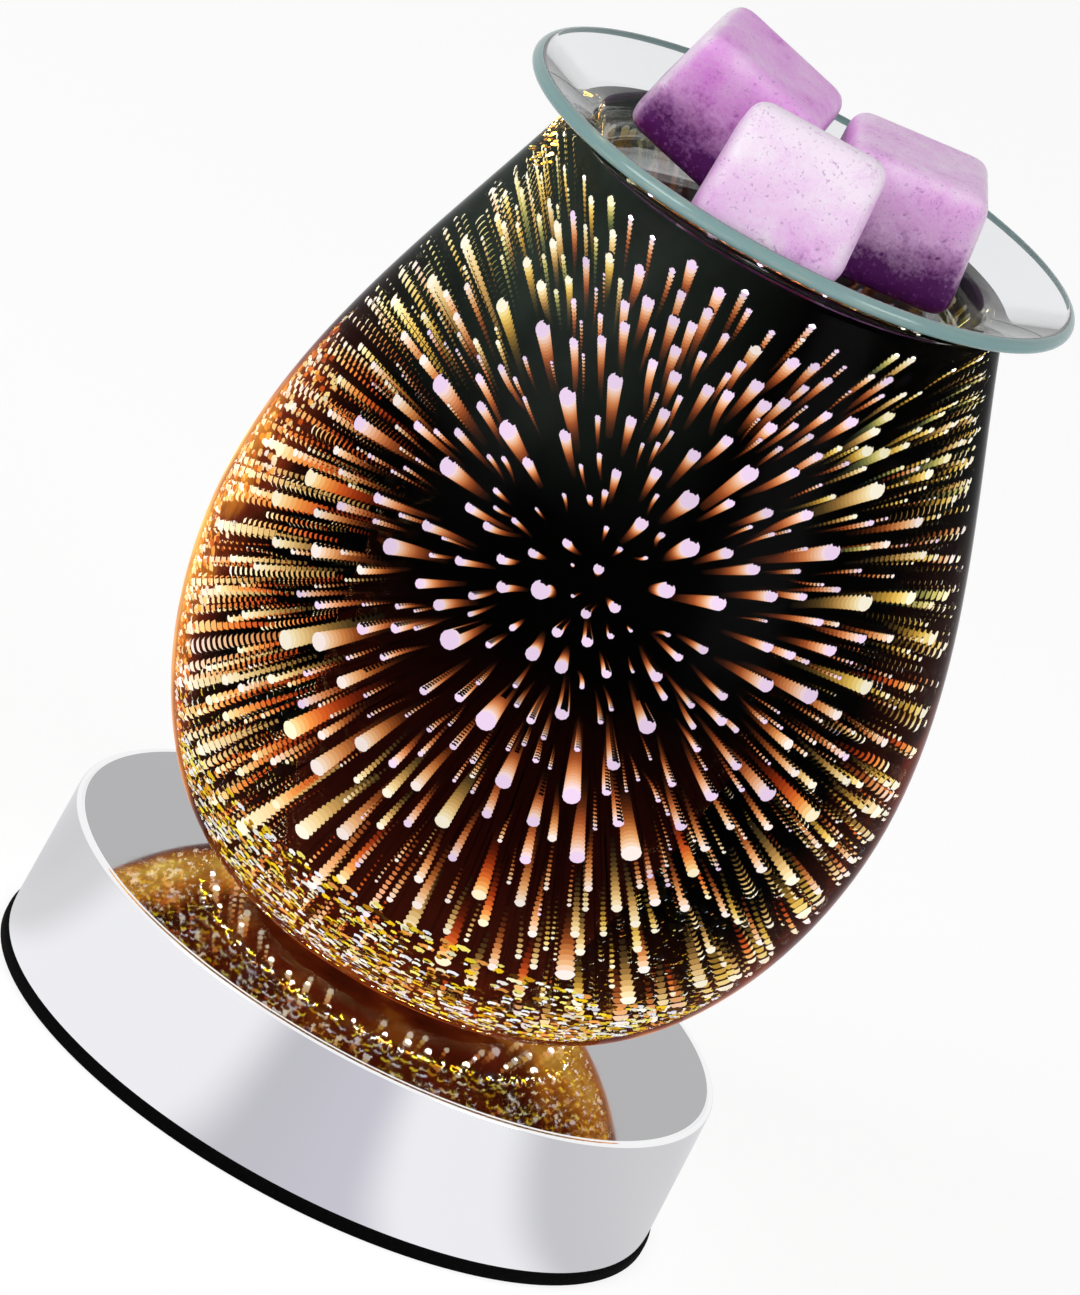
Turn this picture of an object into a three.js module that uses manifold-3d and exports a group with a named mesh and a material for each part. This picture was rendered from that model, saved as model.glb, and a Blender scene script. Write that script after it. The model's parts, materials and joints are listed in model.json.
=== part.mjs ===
// Touch aroma lamp: a chrome drum base, a mirrored glass globe lit from inside by a reflector bulb,
// and a glass dish on top that warms three wax melts. +Z is up and the table is z = 0.

import * as THREE from 'three';
import { mergeGeometries, mergeVertices } from 'three/addons/utils/BufferGeometryUtils.js';
import { RoundedBoxGeometry } from 'three/addons/geometries/RoundedBoxGeometry.js';
import Module from 'manifold-3d';

const wasm = await Module();
wasm.setup();

// Driving dimensions, in millimetres and degrees

// Gap left between two pieces that rest on each other, and facets of a turned piece
const touch = 0.05;
const ringSides = 40;
const middleSides = 24;
const smallSides = 12;
const wireSides = 6;
const arcSteps = 3;
const shoulderSteps = 4;
const globeLowerSteps = 7;
const globeUpperSteps = 5;
const linerSteps = 7;
const bowlSteps = 4;
const restSteps = 20;

// Base drum, its pad and its bottom plate
const padProud = 0.5;
const padThickness = 2.4;
const padChamfer = 0.5;
const baseHeight = 27.2;
const drumTopRadius = 58.9;
const drumFlare = 0.6;
const drumEdgeRadius = 1.2;
const drumSheet = 1.2;
const plateThickness = 2;
const plateGap = 0.4;

// Posts inside the drum and the screws that hold the bottom plate to them
const postCount = 4;
const postRadius = 3.6;
const postInset = 9;
const plateScrewLength = 9;
const screwRadius = 1.5;
const screwHeadRadius = 2.8;
const screwHeadHeight = 1.5;
const panHeadSide = 0.9;
const panHeadFlat = 1.7;
const screwGap = 0.2;

// Grommet where the mains lead enters at the back of the drum
const grommetHeight = 12;
const grommetBore = 3.4;
const grommetNeck = 4.6;
const grommetFlange = 6;
const grommetFlangeThickness = 1.2;
const grommetGap = 0.3;

// Threaded nipple through the whole stack, with its nuts and washers
const nippleRadius = 5;
const nippleBore = 3.6;
const nippleTail = 3;
const nippleEnd = 1;
const threadGap = 0.2;
const nutAcrossFlats = 14;
const nutHeight = 4;
const washerRadius = 10;
const washerThickness = 1;
const terminalRingRadius = 8.2;
const terminalRingThickness = 0.8;
const terminalTabLength = 5;
const terminalTabWidth = 5;

// Outer glass globe and the gasket under it
const gasketThickness = 0.8;
const gasketRadius = 22;
const gasketBore = 9;
const globeHeight = 139.9;
const globeWall = 2;
const globeFloor = 2.4;
const footRadius = 24;
const footReach = 22;
const bellyRadius = 61.6;
const bellyHeight = 58;
const bellyRoundness = 28;
const neckRadius = 39.6;
const neckLean = 8.4;
const neckDrop = 25;
const rimRoundStart = 45;
const rimRoundEnd = 135;

// Washers that clamp the globe to the drum
const clampPadRadius = 16;
const clampPadThickness = 1;
const clampWasherRadius = 14;
const clampWasherThickness = 1.2;

// Inner mirror glass: it goes in through the neck and stands round the bulb
const linerWall = 1.6;
const linerFootRadius = 24;
const linerHeight = 118;
const linerBulgeStart = 41.3;
const linerBulgeEnd = 88.5;
const linerNeckGap = 1.6;
const linerSeatThickness = 1.5;
const linerSeatWidth = 4;

// Rows of light points between the two mirrors: thin rods on a film round the inner glass, which all run
// towards one point on the axis
const burstHeight = 98;
const rowLowest = 38;
const rowHighest = 149;
const rowGlassGap = 1.2;
const rowFootRadius = 0.2;
const rowFootDepth = 0.2;
const rowSides = 4;
const rowCurveSteps = 26;
const rowStep = 0.05;
const rowTries = 30;
const rowSeed = 11;
const rowKinds = [
  { count: 150, smallest: 1.25, largest: 1.7, apart: 7.6 },
  { count: 260, smallest: 0.75, largest: 1.15, apart: 4.8 },
];
const filmGap = 0.1;
const filmThickness = 0.6;
const filmSides = 48;

// Reflector bulb with a twist-lock foot
const bulbRadius = 25;
const bulbNeckRadius = 10.6;
const bulbWall = 1.2;
const bulbFloor = 3;
const reflectorHeight = 36;
const reflectorRim = 2;
const bulbGap = 2;
const lensThickness = 2;
const lensInset = 0.6;
const capsuleRadius = 4;
const capsuleFootRadius = 3.2;
const capsuleHeight = 20;
const capRadius = 11.4;
const capHeight = 12;
const capChamfer = 1.2;
const capSideHeight = 8.4;
const pinCircle = 5;
const pinNeckRadius = 1.5;
const pinHeadRadius = 2.4;
const pinHeadHeight = 2.2;
const pinGap = 0.4;
const twistAngle = 25;

// Lamp holder and the bracket that carries it on the nipple
const stemRise = 9;
const bracketSheet = 1.5;
const bracketWidth = 14;
const bracketHeadroom = 4.5;
const legGap = 1.4;
const flangeMargin = 3;
const holderRadius = 12.4;
const holderHeight = 23;
const holderFlange = 3;
const holderLid = 3;
const holderChamber = 9;
const holderScrewLength = 8;
const contactWidth = 4;
const contactSheet = 0.6;
const contactDrop = 10;
const contactGap = 0.3;

// Touch dimmer, terminal block and wires inside the drum
const caseLength = 36;
const caseWidth = 30;
const caseHeight = 12;
const caseWall = 1.6;
const lidThickness = 1.6;
const boardThickness = 1.6;
const boardGap = 0.5;
const bossRadius = 2.8;
const bossInset = 1.4;
const caseScrewLength = 7;
const moduleGap = 4;
const chipSize = 8;
const chipHeight = 4.8;
const coilRadius = 3.2;
const coilHeight = 5.6;
const blockLength = 20;
const blockWidth = 18;
const blockHeight = 10;
const wellDepth = 5;
const terminalScrewHeight = 3;
const wireRadius = 0.9;
const wireSpacing = 2.6;
const wireGap = 0.3;
const wireSteps = 18;
const lampLeadTurn = 6.3;
const touchLeadTurn = 5.6;
const touchLeadRise = 7.2;
const touchLeadSwing = 3.5;
const touchLeadSlack = 3.6;

// Glass dish: a conical rim that rests on the globe's neck, and a well inside the neck
const dishRadius = 49;
const dishGlass = 2.6;
const dishSlope = 24.6;
const dishShoulder = 3.7;
const dishDepth = 7.5;
const dishFloorRound = 3;
const dishNeckGap = 0.6;
const dishEdgeTurn = 30;

// Three wax melts: the outer edge of each is on the shoulder of the dish, so they lean towards the middle
const meltTopWidth = 24.4;
const meltFootWidth = 26.3;
const meltHeight = 21.6;
const meltRound = 3.2;
const meltSeat = 0.3;
const melts = [
  { name: 'wax_melt_front', x: -1.7, y: -23.2, yaw: 1.6, lean: 21.4, towards: 90 },
  { name: 'wax_melt_left', x: -15.2, y: 11.4, yaw: -3.4, lean: 14.5, towards: -16 },
  { name: 'wax_melt_right', x: 15.1, y: 8.8, yaw: 7.5, lean: 3.6, towards: 205 },
];

// Heights worked out from the table up
const plateBottom = padThickness + touch;
const plateTop = plateBottom + plateThickness;
const drumCeiling = baseHeight - drumSheet;
const drumFootRadius = drumTopRadius + drumFlare;
const padRadius = drumFootRadius + padProud;
const drumInnerRadius = drumTopRadius - drumSheet;
const lockWasherBottom = drumCeiling - touch - washerThickness;
const terminalRingBottom = lockWasherBottom - touch - terminalRingThickness;
const lockNutBottom = terminalRingBottom - touch - nutHeight;
const nippleBottom = lockNutBottom - nippleTail;
const gasketBottom = baseHeight + touch;
const globeBottom = gasketBottom + gasketThickness + touch;
const globeInside = globeBottom + globeFloor;
const globeTop = globeBottom + globeHeight;
const neckInnerRadius = neckRadius - globeWall;
const clampPadBottom = globeInside + touch;
const clampWasherBottom = clampPadBottom + clampPadThickness + touch;
const clampNutBottom = clampWasherBottom + clampWasherThickness + touch;
const bracketBottom = clampNutBottom + nutHeight + stemRise;
const upperNutBottom = bracketBottom + bracketSheet + touch;
const nippleTop = upperNutBottom + nutHeight + nippleEnd;
const bracketHeight = nippleTop + bracketHeadroom - bracketBottom;
const holderBottom = bracketBottom + bracketHeight + touch;
const holderTop = holderBottom + holderHeight;
const bulbBottom = holderTop + contactGap;
const linerBottom = globeInside + touch + linerSeatThickness + touch;
const holeRadius = nippleRadius + threadGap;
const nutCorner = nutAcrossFlats / 2 / Math.cos(Math.PI / 6);
const holderScrewX = holderRadius + screwHeadRadius + contactGap;

// Finishes
const finish = (color, roughness, metalness) =>
  new THREE.MeshStandardMaterial({ color, roughness, metalness });
const clear = (color, opacity) =>
  new THREE.MeshStandardMaterial({ color, roughness: 0.05, transparent: true, opacity });
const chrome = finish(0xd9d9dc, 0.06, 1);
const zincSteel = finish(0xb4b6ba, 0.35, 1);
const brass = finish(0xc9a65a, 0.3, 1);
const blackFoam = finish(0x070707, 0.85, 0);
const blackRubber = finish(0x141414, 0.75, 0);
const siliconeRubber = finish(0xc9c6c0, 0.6, 0);
const smokedGlass = clear(0x1a1412, 0.6);
const mirrorGlass = finish(0x0b0908, 0.1, 0.2);
const dishGlassFinish = clear(0xa9cbc9, 0.4);
const bulbGlass = clear(0xe8ecee, 0.4);
const reflectorFinish = finish(0xcfd2d6, 0.12, 0.9);
const whiteCeramic = finish(0xefece4, 0.4, 0);
const whiteNylon = finish(0xe6e4de, 0.5, 0);
const blackPlastic = finish(0x1b1b1d, 0.5, 0);
const boardGreen = finish(0x2f6b3f, 0.6, 0);
const brownWire = finish(0x5b3218, 0.5, 0);
const blueWire = finish(0x2a4f9a, 0.5, 0);
const yellowWire = finish(0xc9a227, 0.5, 0);
const lilacWax = finish(0xcb74cc, 0.55, 0);
const lightPoints = finish(0xf6dcc8, 0.4, 0);

// Merges shared vertices, drops collapsed faces and turns the faces outwards
function closed(geometry) {
  geometry.deleteAttribute('normal');
  geometry.deleteAttribute('uv');
  const merged = mergeVertices(geometry, 1e-4);
  const corners = merged.index.array;
  const [a, b, c] = [new THREE.Vector3(), new THREE.Vector3(), new THREE.Vector3()];
  const faces = [];
  let volume = 0;
  for (let i = 0; i < corners.length; i += 3) {
    const [p, q, r] = corners.slice(i, i + 3);
    if (p === q || q === r || r === p) continue;
    faces.push([p, q, r]);
    a.fromBufferAttribute(merged.attributes.position, p);
    b.fromBufferAttribute(merged.attributes.position, q);
    c.fromBufferAttribute(merged.attributes.position, r);
    volume += a.dot(b.cross(c));
  }
  merged.setIndex(faces.flatMap(([p, q, r]) => (volume < 0 ? [p, r, q] : [p, q, r])));
  return merged;
}

// Cuts and joins of closed solids
function solid(geometry) {
  const body = closed(geometry);
  const vertProperties = new Float32Array(body.attributes.position.array);
  const triVerts = new Uint32Array(body.index.array);
  return new wasm.Manifold(new wasm.Mesh({ numProp: 3, vertProperties, triVerts }));
}

function geometryOf(manifold) {
  const { vertProperties, triVerts } = manifold.getMesh();
  const geometry = new THREE.BufferGeometry();
  geometry.setAttribute('position', new THREE.BufferAttribute(vertProperties, 3));
  geometry.setIndex(Array.from(triVerts));
  return geometry;
}

const cut = (geometry, tools) =>
  geometryOf(tools.reduce((body, tool) => body.subtract(solid(tool)), solid(geometry)));
const join = (geometry, others) =>
  geometryOf(others.reduce((body, other) => body.add(solid(other)), solid(geometry)));

function piece(name, geometry, material) {
  const mesh = new THREE.Mesh(closed(geometry), material);
  mesh.geometry.computeVertexNormals();
  mesh.name = name;
  return mesh;
}

// Shapes used by many pieces: profiles are lists of [radius, height]
const point = ([radius, height]) => new THREE.Vector2(radius, height);

const turned = (profile, sides) =>
  new THREE.LatheGeometry(profile.map(point), sides).rotateX(Math.PI / 2);

const collar = (inner, outer, bottom, height, sides) => turned([
  [inner, bottom], [outer, bottom], [outer, bottom + height], [inner, bottom + height], [inner, bottom],
], sides);

const rod = (radius, bottom, height, sides) =>
  turned([[0, bottom], [radius, bottom], [radius, bottom + height], [0, bottom + height]], sides);

const box = (length, width, height, x, y, bottom) =>
  new THREE.BoxGeometry(length, width, height).translate(x, y, bottom + height / 2);

const raised = (shape, height) =>
  new THREE.ExtrudeGeometry(shape, { depth: height, bevelEnabled: false, curveSegments: smallSides / 2 });

function arc(radius, height, round, from, to, steps) {
  return Array.from({ length: steps + 1 }, (_, i) => {
    const angle = THREE.MathUtils.degToRad(from + ((to - from) * i) / steps);
    return [radius + round * Math.cos(angle), height + round * Math.sin(angle)];
  });
}

function wire(name, points, material) {
  const path = new THREE.CatmullRomCurve3(points.map((p) => new THREE.Vector3(...p)));
  const section = new THREE.Shape().absarc(0, 0, wireRadius, 0, 2 * Math.PI);
  const curveSegments = wireSides / 2;
  const settings = { extrudePath: path, steps: wireSteps, curveSegments, bevelEnabled: false };
  return piece(name, new THREE.ExtrudeGeometry(section, settings), material);
}

// A screw with its head at the bottom, pointing up; grow widens it into its own hole
function countersunk(length, grow) {
  return turned([
    [0, -grow], [screwHeadRadius + grow, -grow], [screwHeadRadius + grow, 0],
    [screwRadius + grow, screwHeadHeight], [screwRadius + grow, length + grow], [0, length + grow],
  ], smallSides);
}

// A round-headed screw pointing down from the seat of its head at z = 0
function panScrew(name, length) {
  return piece(name, turned([
    [0, -length], [screwRadius, -length], [screwRadius, 0], [screwHeadRadius, 0],
    [screwHeadRadius, panHeadSide], [panHeadFlat, screwHeadHeight], [0, screwHeadHeight],
  ], smallSides), zincSteel);
}

function nut(name, bottom) {
  const shape = new THREE.Shape();
  for (let i = 0; i < 6; i += 1) {
    const angle = (i * Math.PI) / 3;
    shape[i ? 'lineTo' : 'moveTo'](nutCorner * Math.cos(angle), nutCorner * Math.sin(angle));
  }
  shape.holes.push(new THREE.Path().absarc(0, 0, holeRadius, 0, 2 * Math.PI));
  const mesh = piece(name, raised(shape, nutHeight), zincSteel);
  mesh.position.z = bottom;
  return mesh;
}

function washer(name, inner, outer, bottom, thickness, material) {
  const mesh = piece(name, collar(inner, outer, 0, thickness, middleSides), material);
  mesh.position.z = bottom;
  return mesh;
}

// Base: pad, bottom plate with its screws, drum and grommet
const postPlaces = Array.from({ length: postCount }, (_, i) => {
  const angle = ((i + 0.5) * 2 * Math.PI) / postCount;
  const radius = drumInnerRadius - postInset;
  return [radius * Math.cos(angle), radius * Math.sin(angle)];
});

function basePad() {
  const rim = padRadius - padChamfer;
  const top = padThickness - padChamfer;
  return piece('base_pad', turned([
    [0, 0], [rim, 0], [padRadius, padChamfer], [padRadius, top], [rim, padThickness], [0, padThickness],
  ], ringSides), blackFoam);
}

function bottomPlate() {
  const disc = rod(drumInnerRadius - plateGap, 0, plateThickness, ringSides);
  const holes = postPlaces.map(([x, y]) => countersunk(plateScrewLength, screwGap).translate(x, y, 0));
  const mesh = piece('bottom_plate', cut(disc, holes), zincSteel);
  mesh.position.z = plateBottom;
  return mesh;
}

function plateScrews() {
  return postPlaces.map(([x, y], i) => {
    const mesh = piece(`plate_screw_${i + 1}`, countersunk(plateScrewLength, 0), zincSteel);
    mesh.position.set(x, y, plateBottom);
    return mesh;
  });
}

function baseShell() {
  const edgeMiddle = [drumTopRadius - drumEdgeRadius, baseHeight - drumEdgeRadius];
  const edge = arc(...edgeMiddle, drumEdgeRadius, 0, 90, arcSteps);
  const skin = turned([
    [drumFootRadius, plateBottom], ...edge, [holeRadius, baseHeight], [holeRadius, drumCeiling],
    [drumInnerRadius, drumCeiling], [drumFootRadius - drumSheet, plateBottom], [drumFootRadius, plateBottom],
  ], ringSides);
  const postBottom = plateTop + touch;
  const postHeight = drumCeiling + drumSheet / 2 - postBottom;
  const posts = postPlaces.map(([x, y]) =>
    rod(postRadius, postBottom, postHeight, smallSides).translate(x, y, 0));
  const threads = postPlaces.map(([x, y]) =>
    countersunk(plateScrewLength, screwGap).translate(x, y, plateBottom));
  const leadHole = rod(grommetNeck + grommetGap, 0, 2 * drumSheet + 2 * drumFlare, smallSides)
    .rotateX(-Math.PI / 2)
    .translate(0, drumInnerRadius - drumFlare, grommetHeight);
  return piece('base_shell', cut(join(skin, posts), [...threads, leadHole]), chrome);
}

function cordGrommet() {
  const sag = drumInnerRadius - Math.sqrt(drumInnerRadius ** 2 - grommetFlange ** 2);
  const inside = drumInnerRadius - sag - grommetGap;
  const outside = drumFootRadius + grommetGap;
  const mesh = piece('cord_grommet', turned([
    [grommetBore, inside - grommetFlangeThickness], [grommetFlange, inside - grommetFlangeThickness],
    [grommetFlange, inside], [grommetNeck, inside], [grommetNeck, outside], [grommetFlange, outside],
    [grommetFlange, outside + grommetFlangeThickness], [grommetBore, outside + grommetFlangeThickness],
    [grommetBore, inside - grommetFlangeThickness],
  ], smallSides), blackRubber);
  mesh.rotation.x = -Math.PI / 2;
  mesh.position.z = grommetHeight;
  return mesh;
}

// Stack on the nipple
function threadedNipple() {
  const length = nippleTop - nippleBottom;
  return washer('threaded_nipple', nippleBore, nippleRadius, nippleBottom, length, zincSteel);
}

function ringTerminal() {
  const ring = collar(holeRadius, terminalRingRadius, 0, terminalRingThickness, middleSides);
  const reach = terminalTabLength + (terminalRingRadius - holeRadius) / 2;
  const tabMiddle = terminalRingRadius + terminalTabLength - reach / 2;
  const tab = box(terminalTabWidth, reach, terminalRingThickness, 0, tabMiddle, 0);
  const mesh = piece('ring_terminal', join(ring, [tab]), brass);
  mesh.position.z = terminalRingBottom;
  return mesh;
}

function nippleStack() {
  const nippleWasher = (name, outer, bottom, thickness, material) =>
    washer(name, holeRadius, outer, bottom, thickness, material);
  return [
    threadedNipple(),
    nut('lock_nut', lockNutBottom),
    ringTerminal(),
    nippleWasher('lock_washer', washerRadius, lockWasherBottom, washerThickness, zincSteel),
    washer('globe_gasket', gasketBore, gasketRadius, gasketBottom, gasketThickness, blackRubber),
    nippleWasher('clamp_pad', clampPadRadius, clampPadBottom, clampPadThickness, siliconeRubber),
    nippleWasher('clamp_washer', clampWasherRadius, clampWasherBottom, clampWasherThickness, zincSteel),
    nut('clamp_nut', clampNutBottom),
    nut('bracket_nut_lower', bracketBottom - touch - nutHeight),
    nut('bracket_nut_upper', upperNutBottom),
  ];
}

// Glass globe: the outside is two curves that meet at the belly, and the inside lies one wall within
function globeOutline(inset, lowerSteps = globeLowerSteps, upperSteps = globeUpperSteps) {
  const rim = globeHeight - globeWall / 2;
  const lower = new THREE.CubicBezierCurve(
    point([footRadius, 0]), point([footRadius + footReach, 0]),
    point([bellyRadius, bellyHeight - bellyRoundness]), point([bellyRadius, bellyHeight]),
  );
  const upper = new THREE.CubicBezierCurve(
    point([bellyRadius, bellyHeight]), point([bellyRadius, bellyHeight + bellyRoundness]),
    point([neckRadius + neckLean, rim - neckDrop]), point([neckRadius, rim]),
  );
  const along = (curve, from, steps) => Array.from({ length: steps + 1 - from }, (_, i) => {
    const at = (i + from) / steps;
    const place = curve.getPoint(at);
    const way = curve.getTangent(at);
    return [place.x - way.y * inset, place.y + way.x * inset];
  });
  return [...along(lower, 0, lowerSteps), ...along(upper, 1, upperSteps)];
}

function glassGlobe() {
  const outside = globeOutline(0);
  const half = globeWall / 2;
  const rim = arc(neckRadius - half, globeHeight - half, half, rimRoundStart, rimRoundEnd, 2);
  const inside = globeOutline(globeWall).filter(([, height]) => height > globeFloor + globeWall / 2);
  const mesh = piece('glass_globe', turned([
    [holeRadius + threadGap, 0], ...outside, ...rim, ...inside.reverse(),
    [linerFootRadius + linerSeatWidth, globeFloor], [holeRadius + threadGap, globeFloor],
    [holeRadius + threadGap, 0],
  ], ringSides), smokedGlass);
  mesh.position.z = globeBottom;
  return mesh;
}

// Inner mirror glass: its belly just passes the globe's neck, and its mouth clears the bulb
function linerOutline(inset) {
  const mouth = bulbRadius + bulbGap + linerWall;
  const belly = neckInnerRadius - linerNeckGap;
  const bulge = (8 * belly - linerFootRadius - mouth) / 6;
  return new THREE.CubicBezierCurve(
    point([linerFootRadius - inset, 0]), point([bulge - inset, linerBulgeStart]),
    point([bulge - inset, linerBulgeEnd]), point([mouth - inset, linerHeight]),
  ).getPoints(linerSteps).map(({ x, y }) => [x, y]);
}

function mirrorLiner() {
  const outside = linerOutline(0);
  const mesh = piece('mirror_liner', turned(
    [...outside, ...linerOutline(linerWall).reverse(), outside[0]], middleSides,
  ), mirrorGlass);
  mesh.position.z = linerBottom;
  return mesh;
}

function linerSeat() {
  const middle = linerFootRadius - linerWall / 2;
  const [inner, outer] = [middle - linerSeatWidth / 2, middle + linerSeatWidth / 2];
  return washer('liner_seat', inner, outer, globeInside + touch, linerSeatThickness, siliconeRubber);
}

// The same numbers from 0 to 1 each time, so that the scatter of the rows never changes
function numberSource(seed) {
  const [factor, step, range] = [1664525, 1013904223, 2 ** 32];
  let state = seed;
  return () => {
    state = (state * factor + step) % range;
    return state / range;
  };
}

// Places of the rows on the outside of the globe, scattered evenly over its area and none too near another
function rowPlaces() {
  const side = globeOutline(0, rowCurveSteps, rowCurveSteps)
    .map(([radius, height]) => [radius, globeBottom + height])
    .filter(([, height]) => height > rowLowest && height < rowHighest);
  const areas = [0];
  side.slice(1).forEach(([radius, height], i) => {
    const [lastRadius, lastHeight] = side[i];
    areas.push(areas[i] + Math.hypot(radius - lastRadius, height - lastHeight) * (radius + lastRadius) / 2);
  });
  const next = numberSource(rowSeed);
  const scatter = () => {
    const area = next() * areas.at(-1);
    const turn = next() * 2 * Math.PI;
    const i = areas.findIndex((sum) => sum > area);
    const share = (area - areas[i - 1]) / (areas[i] - areas[i - 1]);
    const radius = THREE.MathUtils.lerp(side[i - 1][0], side[i][0], share);
    const height = THREE.MathUtils.lerp(side[i - 1][1], side[i][1], share);
    return new THREE.Vector3(radius * Math.sin(turn), -radius * Math.cos(turn), height);
  };
  const places = [];
  rowKinds.forEach(({ count, smallest, largest, apart }) => {
    let made = 0;
    for (let tries = 0; made < count && tries < count * rowTries; tries += 1) {
      const place = scatter();
      if (places.some((other) => other.place.distanceTo(place) < (other.apart + apart) / 2)) continue;
      places.push({ place, apart, radius: THREE.MathUtils.lerp(smallest, largest, next()) });
      made += 1;
    }
  });
  return places;
}

// Rows of light points: each rod tapers from its head under the globe's glass to its foot in the film
function lightRows() {
  const outside = linerOutline(-filmGap - filmThickness).slice(1, -1);
  const inside = linerOutline(-filmGap).slice(1, -1).reverse();
  const film = turned([...outside, ...inside, outside[0]], filmSides).translate(0, 0, linerBottom);
  const filmRadius = (height) => {
    const below = outside.filter(([, z]) => linerBottom + z < height).length;
    const i = THREE.MathUtils.clamp(below, 1, outside.length - 1);
    const share = (height - linerBottom - outside[i - 1][1]) / (outside[i][1] - outside[i - 1][1]);
    return THREE.MathUtils.lerp(outside[i - 1][0], outside[i][0], share);
  };
  const burst = new THREE.Vector3(0, 0, burstHeight);
  const rods = rowPlaces().map(({ place, radius }) => {
    const way = burst.clone().sub(place).normalize();
    const head = place.clone().addScaledVector(way, globeWall + rowGlassGap);
    const foot = head.clone();
    while (Math.hypot(foot.x, foot.y) > filmRadius(foot.z) - rowFootDepth) foot.addScaledVector(way, rowStep);
    const length = head.distanceTo(foot);
    const turn = new THREE.Quaternion().setFromUnitVectors(new THREE.Vector3(0, 1, 0), way);
    return new THREE.CylinderGeometry(rowFootRadius, radius, length, rowSides)
      .applyQuaternion(turn).translate(...head.add(foot).divideScalar(2).toArray());
  });
  const bodies = solid(join(film, [mergeGeometries(rods)])).decompose();
  const whole = bodies.reduce((largest, body) => (body.volume() > largest.volume() ? body : largest));
  return piece('light_rows', geometryOf(whole), lightPoints);
}

// Lamp holder on its hat-shaped bracket
function holderBracket() {
  const leg = nutCorner + legGap;
  const out = leg + bracketSheet;
  const reach = holderScrewX + flangeMargin;
  const under = bracketHeight - bracketSheet;
  const right = [
    [out, 0], [out, under], [reach, under], [reach, bracketHeight], [leg, bracketHeight], [leg, bracketSheet],
  ];
  const left = right.map(([x, z]) => [-x, z]).reverse();
  const hat = raised(new THREE.Shape([...right, ...left].map(point)), bracketWidth)
    .rotateX(Math.PI / 2)
    .translate(0, bracketWidth / 2, 0);
  const nippleHole = rod(holeRadius, -bracketSheet, 3 * bracketSheet, middleSides);
  const screwHoles = [-1, 1].map((side) =>
    rod(screwRadius + screwGap, under - bracketSheet, 3 * bracketSheet, smallSides)
      .translate(side * holderScrewX, 0, 0));
  const mesh = piece('holder_bracket', cut(hat, [nippleHole, ...screwHoles]), zincSteel);
  mesh.position.z = bracketBottom;
  return mesh;
}

// A slot for a pin's neck that opens into a round hole for its head at the unlocked end
function keySlot(side) {
  const half = pinNeckRadius + pinGap;
  const start = side > 0 ? 0 : Math.PI;
  const end = start + THREE.MathUtils.degToRad(twistAngle);
  const at = (angle) => [pinCircle * Math.cos(angle), pinCircle * Math.sin(angle)];
  const slot = new THREE.Shape();
  slot.absarc(0, 0, pinCircle + half, start, end, false);
  slot.absarc(...at(end), half, end, end + Math.PI, false);
  slot.absarc(0, 0, pinCircle - half, end, start, true);
  slot.absarc(...at(start), half, start + Math.PI, start + 2 * Math.PI, false);
  const entry = new THREE.Shape().absarc(...at(end), pinHeadRadius + pinGap, 0, 2 * Math.PI);
  const through = 3 * holderLid;
  return [slot, entry].map((shape) => raised(shape, through).translate(0, 0, holderHeight - 2 * holderLid));
}

function lampHolder() {
  const flangeRadius = holderScrewX + screwHeadRadius + contactGap;
  const ceiling = holderHeight - holderLid;
  const cup = turned([
    [0, ceiling], [holderChamber, ceiling], [holderChamber, 0], [flangeRadius, 0],
    [flangeRadius, holderFlange], [holderRadius, holderFlange], [holderRadius, holderHeight],
    [0, holderHeight],
  ], middleSides);
  const screwHoles = [-1, 1].map((side) =>
    rod(screwRadius + screwGap, -holderFlange, 3 * holderFlange, smallSides)
      .translate(side * holderScrewX, 0, 0));
  const mesh = piece('lamp_holder', cut(cup, [...keySlot(1), ...keySlot(-1), ...screwHoles]), whiteCeramic);
  mesh.position.z = holderBottom;
  return mesh;
}

function holderScrews() {
  return [-1, 1].map((side, i) => {
    const mesh = panScrew(`holder_screw_${i + 1}`, holderScrewLength);
    mesh.position.set(side * holderScrewX, 0, holderBottom + holderFlange + touch);
    return mesh;
  });
}

// Spring contacts: a leg against the chamber's wall and a tongue under the pin's head
const headBottom = bulbBottom - contactGap - holderLid - contactGap - pinHeadHeight;
const contactLeg = Math.sqrt(holderChamber ** 2 - (contactWidth / 2) ** 2) - contactGap;

function holderContact(name, side) {
  const inner = pinCircle - contactWidth / 2;
  const under = contactSheet + contactGap;
  const shape = new THREE.Shape([
    [inner, -under], [contactLeg - contactSheet, -under], [contactLeg - contactSheet, -contactDrop],
    [contactLeg, -contactDrop], [contactLeg, -contactGap], [inner, -contactGap],
  ].map(point));
  const strip = raised(shape, contactWidth).rotateX(Math.PI / 2).translate(0, contactWidth / 2, 0);
  const mesh = piece(name, strip, brass);
  mesh.rotation.z = side > 0 ? 0 : Math.PI;
  mesh.position.z = headBottom;
  return mesh;
}

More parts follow.
